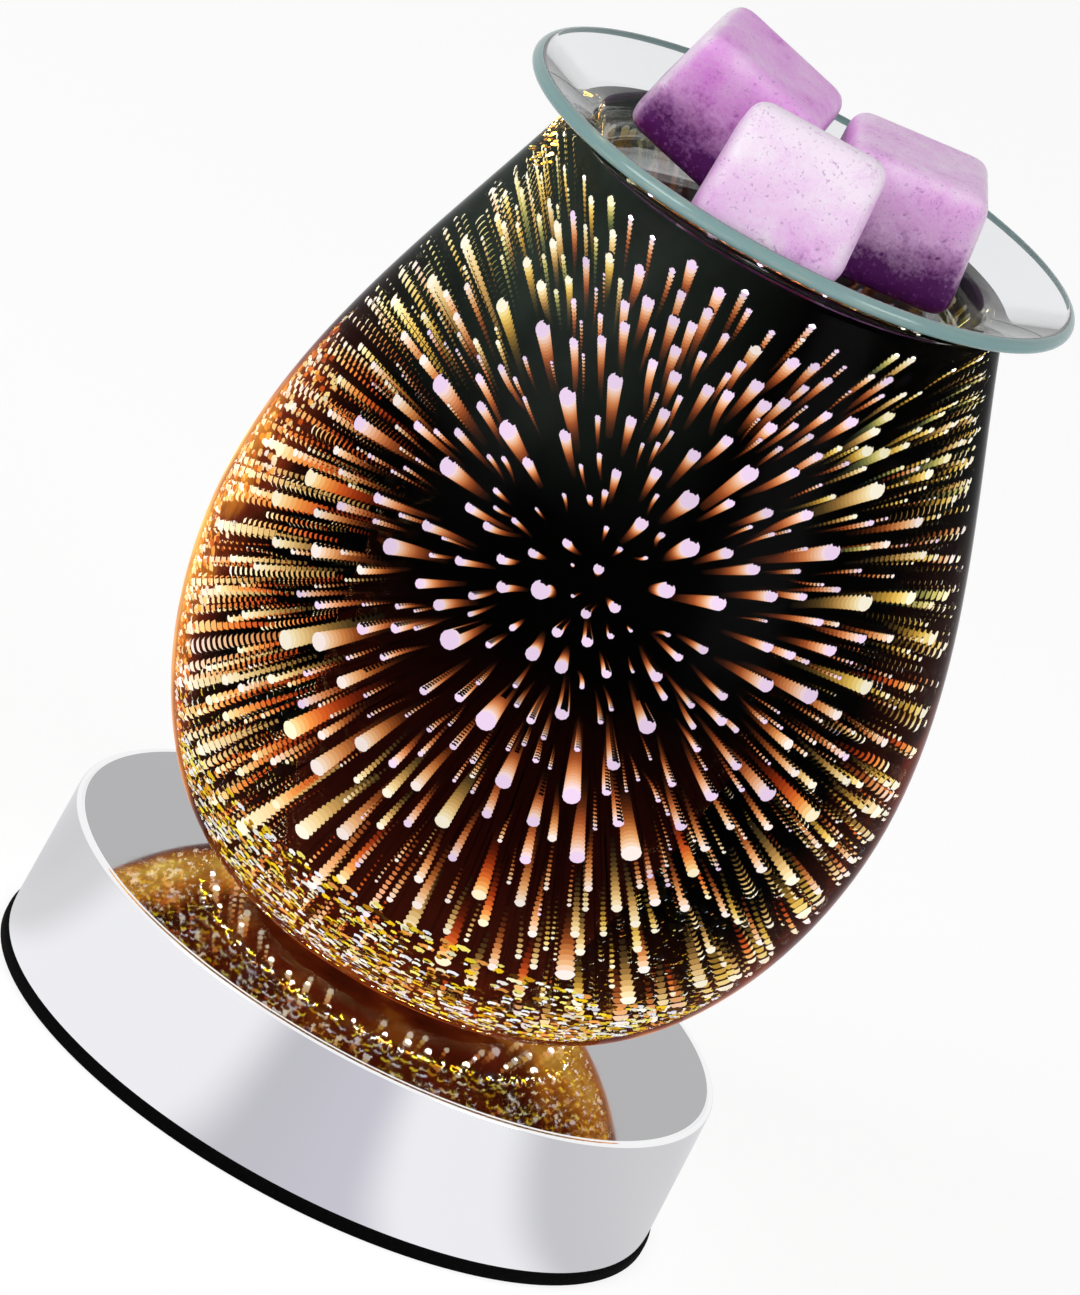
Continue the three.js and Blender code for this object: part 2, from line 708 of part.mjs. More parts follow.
// Reflector bulb, which turns as one in its holder
function bulb() {
  const reflectorBottom = capHeight + touch;
  const bowl = (neck, rim, bottom, top) => Array.from({ length: bowlSteps + 1 }, (_, i) => {
    const up = i / bowlSteps;
    return [neck + (rim - neck) * Math.sqrt(up), bottom + (top - bottom) * up];
  });
  const rimHeight = reflectorHeight + reflectorRim;
  const outer = bowl(bulbNeckRadius, bulbRadius, 0, reflectorHeight);
  const inner = bowl(bulbNeckRadius - bulbWall, bulbRadius - bulbWall, bulbFloor, reflectorHeight);
  const reflector = piece('bulb_reflector', turned([
    [0, 0], ...outer, [bulbRadius, rimHeight], [bulbRadius - bulbWall, rimHeight],
    ...inner.reverse(), [0, bulbFloor],
  ], middleSides), reflectorFinish);
  const lensRadius = bulbRadius - lensInset;
  const lens = piece('bulb_lens', turned([
    [0, 0], [lensRadius, 0], [lensRadius, lensThickness / 2], [lensRadius - lensThickness, lensThickness],
    [0, lensThickness],
  ], middleSides), bulbGlass);
  const capsule = piece('bulb_capsule', turned([
    [0, 0], [capsuleFootRadius, 0], [capsuleRadius, capsuleRadius],
    ...arc(0, capsuleHeight - capsuleRadius, capsuleRadius, 0, 90, arcSteps),
  ], smallSides), bulbGlass);
  const cap = piece('bulb_cap', turned([
    [0, 0], [capRadius - capChamfer, 0], [capRadius, capChamfer], [capRadius, capSideHeight],
    [bulbNeckRadius, capHeight], [0, capHeight],
  ], middleSides), whiteCeramic);
  const pinFoot = headBottom - bulbBottom;
  const pins = [-1, 1].map((side, i) => {
    const pin = piece(`bulb_pin_${i + 1}`, turned([
      [0, pinFoot], [pinHeadRadius, pinFoot], [pinHeadRadius, pinFoot + pinHeadHeight],
      [pinNeckRadius, pinFoot + pinHeadHeight], [pinNeckRadius, -touch], [0, -touch],
    ], smallSides), zincSteel);
    pin.position.x = side * pinCircle;
    return pin;
  });
  reflector.position.z = reflectorBottom;
  capsule.position.z = reflectorBottom + bulbFloor + touch;
  lens.position.z = reflectorBottom + rimHeight + touch;
  const group = new THREE.Group();
  group.add(cap, ...pins, reflector, capsule, lens);
  group.position.z = bulbBottom;
  return group;
}

// Touch dimmer on the bottom plate: case, board, lid and two screws
const caseFace = -(washerRadius + moduleGap);
const caseMiddle = caseFace - caseLength / 2;
const bossPlaces = [-1, 1].map((side) => [
  caseMiddle + side * (caseLength / 2 - caseWall - bossInset),
  side * (caseWidth / 2 - caseWall - bossInset),
]);

function touchDimmer() {
  const hollow = box(
    caseLength - 2 * caseWall, caseWidth - 2 * caseWall, caseHeight, caseMiddle, 0, caseWall,
  );
  const tray = cut(box(caseLength, caseWidth, caseHeight, caseMiddle, 0, 0), [hollow]);
  const bosses = bossPlaces.map(([x, y]) =>
    rod(bossRadius, caseWall / 2, caseHeight - caseWall / 2, smallSides).translate(x, y, 0));
  const screwHole = (bottom, top) => bossPlaces.map(([x, y]) =>
    rod(screwRadius + screwGap, bottom, top - bottom, smallSides).translate(x, y, 0));
  const threads = screwHole(caseHeight - caseScrewLength, caseHeight + lidThickness);
  const shell = piece('touch_case', cut(join(tray, bosses), threads), blackPlastic);
  const lidHoles = screwHole(-lidThickness, 2 * lidThickness);
  const cover = box(caseLength, caseWidth, lidThickness, caseMiddle, 0, 0);
  const lid = piece('touch_lid', cut(cover, lidHoles), blackPlastic);
  const boardLength = caseLength - 2 * (caseWall + bossInset + bossRadius + boardGap);
  const boardWidth = caseWidth - 2 * (caseWall + boardGap);
  const chip = box(chipSize, chipSize, chipHeight, caseMiddle, -chipSize / 2, boardThickness / 2);
  const coil = rod(coilRadius, boardThickness / 2, coilHeight, smallSides)
    .translate(caseMiddle, chipSize, 0);
  const slab = box(boardLength, boardWidth, boardThickness, caseMiddle, 0, 0);
  const board = piece('touch_board', join(slab, [chip, coil]), boardGreen);
  const screws = bossPlaces.map(([x, y], i) => {
    const screw = panScrew(`touch_screw_${i + 1}`, caseScrewLength + lidThickness / 2);
    screw.position.set(x, y, caseHeight + lidThickness + 2 * touch);
    return screw;
  });
  board.position.z = caseWall + touch;
  lid.position.z = caseHeight + touch;
  const group = new THREE.Group();
  group.add(shell, board, lid, ...screws);
  group.position.z = plateTop + touch;
  return group;
}

// Terminal block on the other side, with two clamp screws in their wells
const blockFace = washerRadius + moduleGap;
const blockMiddle = blockFace + blockLength / 2;
const wellRadius = screwHeadRadius + screwGap;

function terminalBlock() {
  const wells = [-1, 1].map((side) =>
    rod(wellRadius, blockHeight - wellDepth, 2 * wellDepth, smallSides)
      .translate(blockMiddle, (side * blockWidth) / 4, 0));
  const body = cut(box(blockLength, blockWidth, blockHeight, blockMiddle, 0, 0), wells);
  const screws = [-1, 1].map((side, i) => {
    const body = rod(screwHeadRadius, 0, terminalScrewHeight, smallSides);
    const screw = piece(`terminal_screw_${i + 1}`, body, brass);
    screw.position.set(blockMiddle, (side * blockWidth) / 4, blockHeight - wellDepth + touch);
    return screw;
  });
  const group = new THREE.Group();
  group.add(piece('terminal_block', body, whiteNylon), ...screws);
  group.position.z = plateTop + touch;
  return group;
}

// Wires: two from the terminal block up the nipple to the contacts, one from the dimmer to the drum
function wires() {
  const low = plateTop + blockHeight / 2;
  const bend = (nippleBottom + low) / 2;
  const mouth = nippleTop + nippleEnd;
  const outer = contactLeg - contactSheet - wireGap - wireRadius;
  const end = headBottom - contactDrop / 2;
  const lampWire = (name, side, material) => wire(name, [
    [blockFace - wireGap, (side * blockWidth) / 4, low],
    [blockFace - lampLeadTurn, side * (blockWidth / 4 - wireRadius), low],
    [(side * wireSpacing) / 2, side * wireRadius, bend],
    [(side * wireSpacing) / 2, 0, nippleBottom],
    [(side * wireSpacing) / 2, 0, (nippleBottom + nippleTop) / 2],
    [(side * wireSpacing) / 2, 0, mouth],
    [side * outer, 0, end - contactDrop / 4],
    [side * outer, 0, end],
  ], material);
  const tabEnd = terminalRingRadius + terminalTabLength + wireGap;
  const tabHeight = terminalRingBottom + terminalRingThickness / 2;
  const caseLow = plateTop + touchLeadRise;
  const touchWire = wire('touch_lead', [
    [caseFace + wireGap, caseWidth / 4, caseLow],
    [caseFace + touchLeadTurn, caseWidth / 3, caseLow],
    [-touchLeadSwing, tabEnd + touchLeadSlack, (caseLow + tabHeight) / 2],
    [0, tabEnd + touchLeadSlack, tabHeight - wireRadius],
    [0, tabEnd, tabHeight],
  ], yellowWire);
  const live = lampWire('lamp_lead_live', 1, brownWire);
  const neutral = lampWire('lamp_lead_neutral', -1, blueWire);
  return [live, neutral, touchWire];
}

// Glass dish, with z = 0 at the ring where its well meets its conical rim
const slope = THREE.MathUtils.degToRad(dishSlope);
const wellOuter = neckInnerRadius - dishNeckGap;
const wellInner = wellOuter - dishGlass;
const shoulderRadius = wellInner + dishShoulder;
const neckMiddle = neckRadius - globeWall / 2;
const underRim = dishGlass / Math.cos(slope);
const dishSeatHeight = globeTop - globeWall / 2 + (globeWall / 2 + touch * 2) / Math.cos(slope);
const dishHeight = dishSeatHeight + underRim + (shoulderRadius - neckMiddle) * Math.tan(slope);
const rimZ = (radius) => (radius - shoulderRadius) * Math.tan(slope);

function dishTopProfile() {
  const bendTop = arc(shoulderRadius, -dishShoulder, dishShoulder, 180, 90 + dishSlope, shoulderSteps);
  const [lastRadius, lastZ] = bendTop.at(-1);
  const settle = bendTop.map(([radius, z]) => [radius, z + rimZ(lastRadius) - lastZ]);
  return [
    ...arc(wellInner - dishFloorRound, dishFloorRound - dishDepth, dishFloorRound, -90, 0, arcSteps),
    ...settle,
    [dishRadius - dishGlass / 2, rimZ(dishRadius - dishGlass / 2)],
  ];
}

function glassDish() {
  const edgeRound = dishGlass / 2;
  const edgeRadius = dishRadius - edgeRound;
  const edgeZ = rimZ(edgeRadius) - edgeRound * Math.cos(slope);
  const [edgeFrom, edgeTo] = [90 + dishSlope - dishEdgeTurn, dishSlope - 2 * dishEdgeTurn];
  const edge = arc(edgeRadius, edgeZ, edgeRound, edgeFrom, edgeTo, arcSteps);
  const underZ = rimZ(wellOuter) - underRim;
  const floorRound = dishFloorRound + dishGlass;
  const mesh = piece('glass_dish', turned([
    [0, -dishDepth], ...dishTopProfile(), ...edge, [edgeRadius, rimZ(edgeRadius) - underRim],
    [wellOuter, underZ],
    ...arc(wellOuter - floorRound, dishFloorRound - dishDepth, floorRound, 0, -90, arcSteps),
    [0, -dishDepth - dishGlass],
  ], ringSides), dishGlassFinish);
  mesh.position.z = dishHeight;
  return mesh;
}

// Height at which a ball of the melt's corner radius rests on the dish at this distance from its axis
function restHeight(distance) {
  const profile = [[0, -dishDepth], ...dishTopProfile()];
  const fine = profile.slice(1).flatMap(([radius, z], i) => Array.from({ length: restSteps }, (_, k) => [
    THREE.MathUtils.lerp(profile[i][0], radius, k / restSteps),
    THREE.MathUtils.lerp(profile[i][1], z, k / restSteps),
  ]));
  const under = fine.filter(([radius]) => Math.abs(radius - distance) < meltRound);
  return Math.max(...under.map(([radius, z]) => z + Math.sqrt(meltRound ** 2 - (radius - distance) ** 2)));
}

// A melt is let down until the first of its lower corners is on the dish
function waxMelt({ name, x, y, yaw, lean, towards }) {
  const tapered = new RoundedBoxGeometry(meltFootWidth, meltFootWidth, meltHeight, 2, meltRound);
  const position = tapered.attributes.position;
  for (let i = 0; i < position.count; i += 1) {
    const up = position.getZ(i) / meltHeight + 0.5;
    const width = THREE.MathUtils.lerp(1, meltTopWidth / meltFootWidth, up);
    position.setXY(i, position.getX(i) * width, position.getY(i) * width);
  }
  const leanWay = THREE.MathUtils.degToRad(towards);
  const leanAxis = new THREE.Vector3(-Math.sin(leanWay), Math.cos(leanWay), 0);
  const mesh = piece(name, tapered, lilacWax);
  mesh.quaternion.setFromAxisAngle(leanAxis, THREE.MathUtils.degToRad(lean));
  mesh.rotateZ(THREE.MathUtils.degToRad(yaw));
  const half = meltFootWidth / 2 - meltRound;
  const rests = [[-half, -half], [half, -half], [half, half], [-half, half]].map((corner) => {
    const foot = new THREE.Vector3(...corner, meltRound - meltHeight / 2).applyQuaternion(mesh.quaternion);
    return restHeight(Math.hypot(x + foot.x, y + foot.y)) - foot.z;
  });
  mesh.position.set(x, y, dishHeight + meltSeat + Math.max(...rests));
  return mesh;
}

// The whole lamp
const lamp = new THREE.Group();
lamp.name = 'aroma_lamp';
lamp.add(basePad(), bottomPlate(), ...plateScrews(), baseShell(), cordGrommet());
lamp.add(...nippleStack(), touchDimmer(), terminalBlock(), ...wires());
lamp.add(glassGlobe(), linerSeat(), mirrorLiner(), lightRows());
lamp.add(holderBracket(), lampHolder(), ...holderScrews(), bulb());
lamp.add(holderContact('holder_contact_live', 1), holderContact('holder_contact_neutral', -1));
lamp.add(glassDish(), ...melts.map(waxMelt));

export default lamp;
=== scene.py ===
import json
from math import acos, ceil, cos, degrees, hypot, pi, radians, sin, sqrt, tan

import bpy
import numpy as np
from mathutils import Matrix, Vector


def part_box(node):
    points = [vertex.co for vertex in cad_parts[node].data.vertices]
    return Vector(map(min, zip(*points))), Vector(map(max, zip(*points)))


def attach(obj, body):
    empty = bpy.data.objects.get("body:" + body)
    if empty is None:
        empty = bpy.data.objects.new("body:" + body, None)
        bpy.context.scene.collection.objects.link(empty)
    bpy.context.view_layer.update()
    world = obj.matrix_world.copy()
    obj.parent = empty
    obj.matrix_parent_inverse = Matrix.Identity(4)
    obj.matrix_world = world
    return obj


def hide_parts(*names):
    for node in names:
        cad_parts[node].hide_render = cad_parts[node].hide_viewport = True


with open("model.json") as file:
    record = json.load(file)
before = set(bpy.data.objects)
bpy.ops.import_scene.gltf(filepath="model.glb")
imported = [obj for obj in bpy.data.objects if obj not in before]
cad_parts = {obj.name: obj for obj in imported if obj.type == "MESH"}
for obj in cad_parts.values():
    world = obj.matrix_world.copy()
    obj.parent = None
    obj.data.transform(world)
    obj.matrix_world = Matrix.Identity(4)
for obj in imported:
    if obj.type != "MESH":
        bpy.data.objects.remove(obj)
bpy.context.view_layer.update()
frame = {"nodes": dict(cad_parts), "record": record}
nodes = frame["nodes"]
mm = 0.001
print("frame loaded:", len(nodes), "nodes")


def linear(code):  # sRGB hex to the linear colour that the sockets hold
    parts = [int(code[i:i + 2], 16) / 255 for i in (1, 3, 5)]
    return [p / 12.92 if p <= 0.04045 else ((p + 0.055) / 1.055) ** 2.4 for p in parts] + [1.0]


def perSize(width):  # texture scale for a pattern this many millimetres wide
    return 1 / (width * mm)


def addNode(mat, kind, inputs=None, feeds=(), **settings):  # an input is a value, a socket or a node
    node = mat.node_tree.nodes.new("ShaderNode" + kind)
    for name, value in settings.items():
        setattr(node, name, value)
    for name, given in (inputs or {}).items():
        source = given.outputs[0] if isinstance(given, bpy.types.Node) else given
        if isinstance(source, bpy.types.NodeSocket):
            mat.node_tree.links.new(source, node.inputs[name])
        else:
            node.inputs[name].default_value = source
    for name, target in feeds:
        mat.node_tree.links.new(node.outputs[name], target)
    return node


def newMaterial(name, values):
    mat = bpy.data.materials.new(name)
    mat.use_nodes = True
    shader = mat.node_tree.nodes["Principled BSDF"]
    for socket, value in values.items():
        shader.inputs[socket].default_value = value
    place = addNode(mat, "TexCoord").outputs["Object"]
    return mat, shader.inputs, place


def table(heads, *rows):  # a dictionary for each row, under these heads
    return [dict(zip(heads.split(), row)) for row in rows]


def setStops(ramp, stops):
    elements = ramp.color_ramp.elements
    for i, (at, code) in enumerate(stops):
        stop = elements[i] if i < 2 else elements.new(at)  # a new ramp has two stops
        stop.position, stop.color = at, linear(code)


# Camera: it stands where the photograph was taken from, and is rolled as the photograph is
view = {
    "distance": 1657 * mm,
    "elevation": 17.88,
    "roll": 28.3,
    "middleHeight": 90 * mm,
    "middlePixel": (569.3, 624.7),  # where that height on the axis shows
    "picture": (1080, 1295),
    "focalPixels": 10131,
    "sensor": 36,
    "farthest": 100,
}


def addCamera():
    tilt = radians(view["elevation"])
    roll = radians(view["roll"])
    level = Vector((1, 0, 0))
    rise = Vector((0, sin(tilt), cos(tilt)))
    back = Vector((0, -cos(tilt), sin(tilt)))
    right = level * cos(roll) + rise * sin(roll)
    up = rise * cos(roll) - level * sin(roll)
    pixel = view["distance"] / view["focalPixels"]
    across, down = (at - whole / 2 for at, whole in zip(view["middlePixel"], view["picture"]))
    aim = Vector((0, 0, view["middleHeight"])) - right * across * pixel + up * down * pixel
    bpy.ops.object.camera_add()
    camera = bpy.context.object
    turn = Matrix((right, up, back)).transposed().to_4x4()
    camera.matrix_world = Matrix.Translation(aim + back * view["distance"]) @ turn
    camera.data.sensor_width = view["sensor"]
    camera.data.lens = view["focalPixels"] * view["sensor"] / view["picture"][1]
    camera.data.clip_end = view["farthest"]
    bpy.context.scene.camera = camera


# Room: white all round, with two soft boxes in front
room = {
    "ambient": 0.42,
    "floorSize": 24,
    "floorWhite": "#FDFDFD",
    "shadowShare": 0.25,
    "floorGlow": 1.1,
    # bands by angle round the base that only reflections see: painted reflection bands for the chrome drum
    "aroundBase": [(0.0, "#F8F8FA"), (0.2, "#D6D6D8"), (0.25, "#DCDCDE"), (0.3, "#F9F9FC"),
                   (0.43, "#F9F9FC"), (0.475, "#C9C8CF"), (0.535, "#CFCDD7"), (0.575, "#F8F8FC"),
                   (0.63, "#F8F8FB"), (0.68, "#CFCFD2"), (0.8, "#D6D6D8"), (1.0, "#F8F8FA")],
    "boxes": table("azimuth elevation distance size watts",
                   (-52, 26, 1.15, 0.55, 5.6),
                   (50, 20, 1.25, 0.55, 5.0)),
}


def seenBy(mat, path, *rays):  # 1 for these kinds of ray, 0 for the others
    seen = path.outputs[rays[0]]
    for ray in rays[1:]:
        seen = addNode(mat, "Math", {0: seen, 1: path.outputs[ray]}, operation="MAXIMUM")
    return seen


def addWorld():
    world = bpy.context.scene.world or bpy.data.worlds.new("studio")
    bpy.context.scene.world = world
    world.use_nodes = True
    world.node_tree.nodes.clear()
    path = addNode(world, "LightPath")
    shown = seenBy(world, path, "Is Camera Ray", "Is Glossy Ray", "Is Transmission Ray")
    soft, white = (addNode(world, "Background", {"Color": (1, 1, 1, 1), "Strength": strength})
                   for strength in (room["ambient"], 1.0))
    mix = addNode(world, "MixShader", {0: shown, 1: soft, 2: white})
    addNode(world, "OutputWorld", {"Surface": mix})


def addFloor():
    bpy.ops.mesh.primitive_plane_add(size=room["floorSize"])
    floor = bpy.context.object
    floor.name = "floor"
    mat, _, place = newMaterial("white_paper", {
        "Base Color": linear(room["floorWhite"]), "Roughness": 0.9, "Specular IOR Level": 0.0})
    path = addNode(mat, "LightPath")
    seen = seenBy(mat, path, "Is Camera Ray", "Is Transmission Ray")
    share = addNode(mat, "Math", {0: seen, 1: 1 - room["shadowShare"]}, operation="MULTIPLY")
    glow = addNode(mat, "Emission", {"Color": (1, 1, 1, 1), "Strength": room["floorGlow"]})
    body = mat.node_tree.nodes["Principled BSDF"].outputs[0]
    plain = addNode(mat, "MixShader", {0: share, 1: body, 2: glow})
    # painted reflection bands: an emission by angle round the base, shown only to glossy rays
    around = addNode(mat, "Mapping", {"Rotation": (0, 0, pi / 2), "Vector": place})
    angle = addNode(mat, "TexGradient", {"Vector": around}, gradient_type="RADIAL")
    bands = addNode(mat, "ValToRGB", {"Fac": angle.outputs["Fac"]})
    bands.color_ramp.interpolation = "EASE"
    setStops(bands, room["aroundBase"])
    mirrored = addNode(mat, "Emission", {"Strength": 1.0, "Color": bands})
    output = mat.node_tree.nodes["Material Output"].inputs["Surface"]
    addNode(mat, "MixShader", {0: path.outputs["Is Glossy Ray"], 1: plain, 2: mirrored}, [(0, output)])
    floor.data.materials.append(mat)


def addSoftBoxes():
    for box in room["boxes"]:
        azimuth, elevation = radians(box["azimuth"]), radians(box["elevation"])
        way = Vector((sin(azimuth) * cos(elevation), -cos(azimuth) * cos(elevation),
                      sin(elevation)))
        place = Vector((0, 0, view["middleHeight"])) + way * box["distance"]
        bpy.ops.object.light_add(type="AREA", location=place)
        lamp = bpy.context.object
        lamp.rotation_euler = way.to_track_quat("Z", "Y").to_euler()
        lamp.data.size = box["size"]
        lamp.data.energy = box["watts"]


bpy.context.scene.view_settings.view_transform = "Standard"
addCamera()
addWorld()
addFloor()
addSoftBoxes()
print("camera and room ready")


# Materials of the outside. Widths, grains and depths of relief are in millimetres. A mix of colours has its
# share at input 0, the two colours at 6 and 7, and the result at output 2.

def followPattern(mat, shader, pattern, tones=None, rough=None, relief=None):  # one pattern leads a finish
    if tones:
        addNode(mat, "Mix", {0: pattern, 6: linear(tones[0]), 7: linear(tones[1])},
                [(2, shader["Base Color"])], data_type="RGBA")
    if rough:
        addNode(mat, "MapRange", {"To Min": rough[0], "To Max": rough[1], "Value": pattern},
                [("Result", shader["Roughness"])])
    if relief:
        addNode(mat, "Bump", {"Strength": relief[0], "Distance": relief[1] * mm, "Height": pattern},
                [("Normal", shader["Normal"])])
    return mat


def grainBody(name, values, width, detail, tones, rough, relief=None):
    mat, shader, place = newMaterial(name, values)
    grain = addNode(mat, "TexNoise", {"Scale": perSize(width), "Detail": detail, "Vector": place})
    return followPattern(mat, shader, grain, tones, rough, relief)


def cellBody(name, values, width, tones, relief):
    mat, shader, place = newMaterial(name, values)
    cells = addNode(mat, "TexVoronoi", {"Scale": perSize(width), "Vector": place})
    return followPattern(mat, shader, cells, tones, None, relief)


def chromePlate():  # polished chrome on spun steel: a clear mirror with very faint spinning marks
    mat, shader, place = newMaterial("chrome_plate", {"Base Color": linear("#F3F3F4"), "Metallic": 1.0})
    marks = addNode(mat, "Mapping", {"Scale": (1, 1, 40), "Vector": place})
    spun = addNode(mat, "TexNoise", {"Scale": perSize(14), "Detail": 3.0, "Vector": marks})
    return followPattern(mat, shader, spun, rough=(0.03, 0.075))


def mirrorTop():  # chrome top plate, a little hazy from handling, so its reflections are dimmer
    mat, shader, place = newMaterial("mirror_top", {"Base Color": linear("#A4A4A6"), "Metallic": 1.0})
    haze = addNode(mat, "TexNoise", {"Scale": perSize(5), "Detail": 6.0, "Roughness": 0.7, "Vector": place})
    spread = {"From Min": 0.35, "From Max": 0.75, "To Min": 0.03, "To Max": 0.09, "Value": haze}
    addNode(mat, "MapRange", spread, [("Result", shader["Roughness"])])
    return mat


def foamRubber():  # cut black foam: matt, with open cells about half a millimetre wide
    return cellBody("black_foam_rubber", {"Roughness": 0.95, "Specular IOR Level": 0.05}, 0.6,
                    ("#010101", "#060606"), (0.6, 0.15))


def mouldedRubber():  # moulded black rubber: a dull bloom and a fine grain
    return grainBody("moulded_rubber", {"Specular IOR Level": 0.35}, 0.5, 3.0, ("#121212", "#1E1E1F"),
                     (0.6, 0.8), (0.3, 0.05))


# Dark coat of the globe: the share of light it passes, and how strong a light must be to show its own
# colour through it. Its painted warm glow and painted grey-green reflection come from amounts by place,
# joined two by two.
coat = {
    "passes": 0.012,
    "strength": 83.0,
    "places": {  # measured along, where it starts, where it is full, and how much it then is
        "left": ("turn", -0.78, -1.0, 1.0),
        "below": ("height", 145 * mm, 100 * mm, 1.0),
        "front": ("back", 22 * mm, 0.0, 1.0),
        "right": ("turn", 0.8, 1.0, 0.4),
        "low": ("height", 70 * mm, 30 * mm, 0.46),
        "high": ("height", 122 * mm, 150 * mm, 1.0),
        "beside": ("across", 10 * mm, -30 * mm, 1.0),
    },
    "joins": [
        ("leftLow", "MULTIPLY", "left", "below"),
        ("leftGlow", "MULTIPLY", "leftLow", "front"),
        ("rightLow", "ADD", "right", "low"),
        ("bothSides", "MAXIMUM", "rightLow", "leftGlow"),
        ("underNeck", "MULTIPLY", "bothSides", "below"),
        ("warm", "MULTIPLY", "underNeck", "patches"),
        ("corner", "MULTIPLY", "high", "beside"),
        ("paintedReflection", "MULTIPLY", "corner", "patches"),
    ],
    # tones of the painted warm glow, and of the painted grey-green reflection
    "paintedGlowTones": [(0.0, "#000000"), (0.2, "#220803"), (0.4, "#66220C"), (0.62, "#C87422"),
                  (1.0, "#FFCE58")],
    "reflectionTone": "#2A312B",
}


def oneWayGlass():  # dark one-way coat on blown glass, with a painted warm glow and a painted reflection at upper left
    mat, shader, place = newMaterial("one_way_mirror_glass", {
        "Base Color": (coat["passes"],) * 3 + (1,), "Roughness": 0.0, "IOR": 1.02,
        "Transmission Weight": 1.0, "Coat Weight": 0.016, "Coat Roughness": 0.22, "Coat IOR": 1.5,
        "Emission Strength": 1.0})
    split = addNode(mat, "SeparateXYZ", {"Vector": place}).outputs
    plan = addNode(mat, "Mapping", {"Scale": (1, 1, 0), "Vector": place})
    radius = addNode(mat, "VectorMath", {0: plan}, operation="LENGTH")
    turn = addNode(mat, "Math", {0: split["X"], 1: radius.outputs["Value"]}, operation="DIVIDE")
    ways = {"turn": turn, "across": split["X"], "back": split["Y"], "height": split["Z"]}
    drift = addNode(mat, "TexNoise", {"Scale": perSize(9), "Detail": 3.0, "Vector": place})
    patches = addNode(mat, "MapRange", {"From Min": 0.35, "From Max": 0.68, "To Min": 0.6, "Value": drift})
    amounts = {"patches": patches}
    for name, (way, start, full, most) in coat["places"].items():
        amounts[name] = addNode(mat, "MapRange",
                                {"From Min": start, "From Max": full, "To Max": most, "Value": ways[way]})
    for name, join, one, other in coat["joins"]:
        amounts[name] = addNode(mat, "Math", {0: amounts[one], 1: amounts[other]}, operation=join)
    warm = addNode(mat, "ValToRGB", {"Fac": amounts["warm"]})
    setStops(warm, coat["paintedGlowTones"])
    addNode(mat, "Mix", {0: amounts["paintedReflection"], 6: warm, 7: linear(coat["reflectionTone"])},
            [(2, shader["Emission Color"])], data_type="RGBA")
    return mat


def etchedMirror():  # dark mirror on the inner glass, with a faint red glow low down between the dots
    mat, shader, place = newMaterial("etched_mirror_glass", {
        "Base Color": linear("#060505"), "Roughness": 0.12, "Emission Strength": coat["strength"]})
    split = addNode(mat, "SeparateXYZ", {"Vector": place}).outputs
    drift = addNode(mat, "TexNoise", {"Scale": perSize(38), "Detail": 2.0, "Vector": place})
    low = addNode(mat, "MapRange", {"From Min": 95 * mm, "From Max": 45 * mm, "Value": split["Z"]})
    glow = addNode(mat, "Math", {0: low, 1: drift}, operation="MULTIPLY")
    addNode(mat, "Mix", {0: glow, 6: linear("#000000"), 7: linear("#3A0E07")},
            [(2, shader["Emission Color"])], data_type="RGBA")
    return mat


def pressedGlass():  # pressed clear glass: its face is clear and a long look through its edge is teal
    mat = newMaterial("pressed_glass", {
        "Base Color": linear("#EDEEEE"), "Roughness": 0.0, "IOR": 1.5, "Transmission Weight": 1.0})[0]
    output = mat.node_tree.nodes["Material Output"].inputs["Volume"]
    addNode(mat, "VolumeAbsorption", {"Color": linear("#8FC4C2"), "Density": 10.0}, [(0, output)])
    return mat


def glassEdge():  # the ground edge of the dish, where the glass shows its teal
    return newMaterial("teal_glass_edge", {
        "Base Color": linear("#8DB4B4"), "Roughness": 0.15, "IOR": 1.5, "Transmission Weight": 0.3})[0]


wax = {"body": "#DE68DE", "pale": "#F8E8F8", "deep": "#5E1868", "speck": "#A852B2",
       "cloud": (7, 5.0, 0.6), "grain": (0.8, 4.0, 0.65),  # width, detail and roughness
       "grainShare": 0.55, "evenLevel": 0.78,
       "drifts": (("paintedLight", "pale", 1.0), ("deep", "deep", -1.9))}  # stored amount, tone and drift


def castWax():  # cast scented wax: lilac, made paler by painted light and deep purple by painted shade
    mat, shader, place = newMaterial("cast_wax", {
        "Roughness": 0.42, "Subsurface Weight": 0.3, "Subsurface Scale": 1.8 * mm,
        "Subsurface Radius": (1.0, 0.6, 1.0), "Specular IOR Level": 0.35})
    cloud, grain = (
        addNode(mat, "TexNoise", {"Scale": perSize(width), "Detail": detail, "Roughness": rough,
                                  "Vector": place})
        for width, detail, rough in (wax["cloud"], wax["grain"]))
    mixed = addNode(mat, "Math", {0: grain, 1: wax["grainShare"], 2: cloud}, operation="MULTIPLY_ADD")
    shift = addNode(mat, "Math", {0: mixed, 1: wax["evenLevel"]}, operation="SUBTRACT")
    specks = addNode(mat, "MapRange", {"From Min": 0.58, "From Max": 0.66, "To Max": 0.5, "Value": grain})
    tone = linear(wax["body"])
    for stored, other, drift in wax["drifts"]:
        base = addNode(mat, "Attribute", attribute_name=stored).outputs["Fac"]
        share = addNode(mat, "Math", {0: shift, 1: drift, 2: base}, operation="MULTIPLY_ADD", use_clamp=True)
        tone = addNode(mat, "Mix", {0: share, 6: tone, 7: linear(wax[other])}, data_type="RGBA").outputs[2]
    addNode(mat, "Mix", {0: specks, 6: tone, 7: linear(wax["speck"])}, [(2, shader["Base Color"])],
            data_type="RGBA")
    return followPattern(mat, shader, grain, relief=(0.5, 0.18))


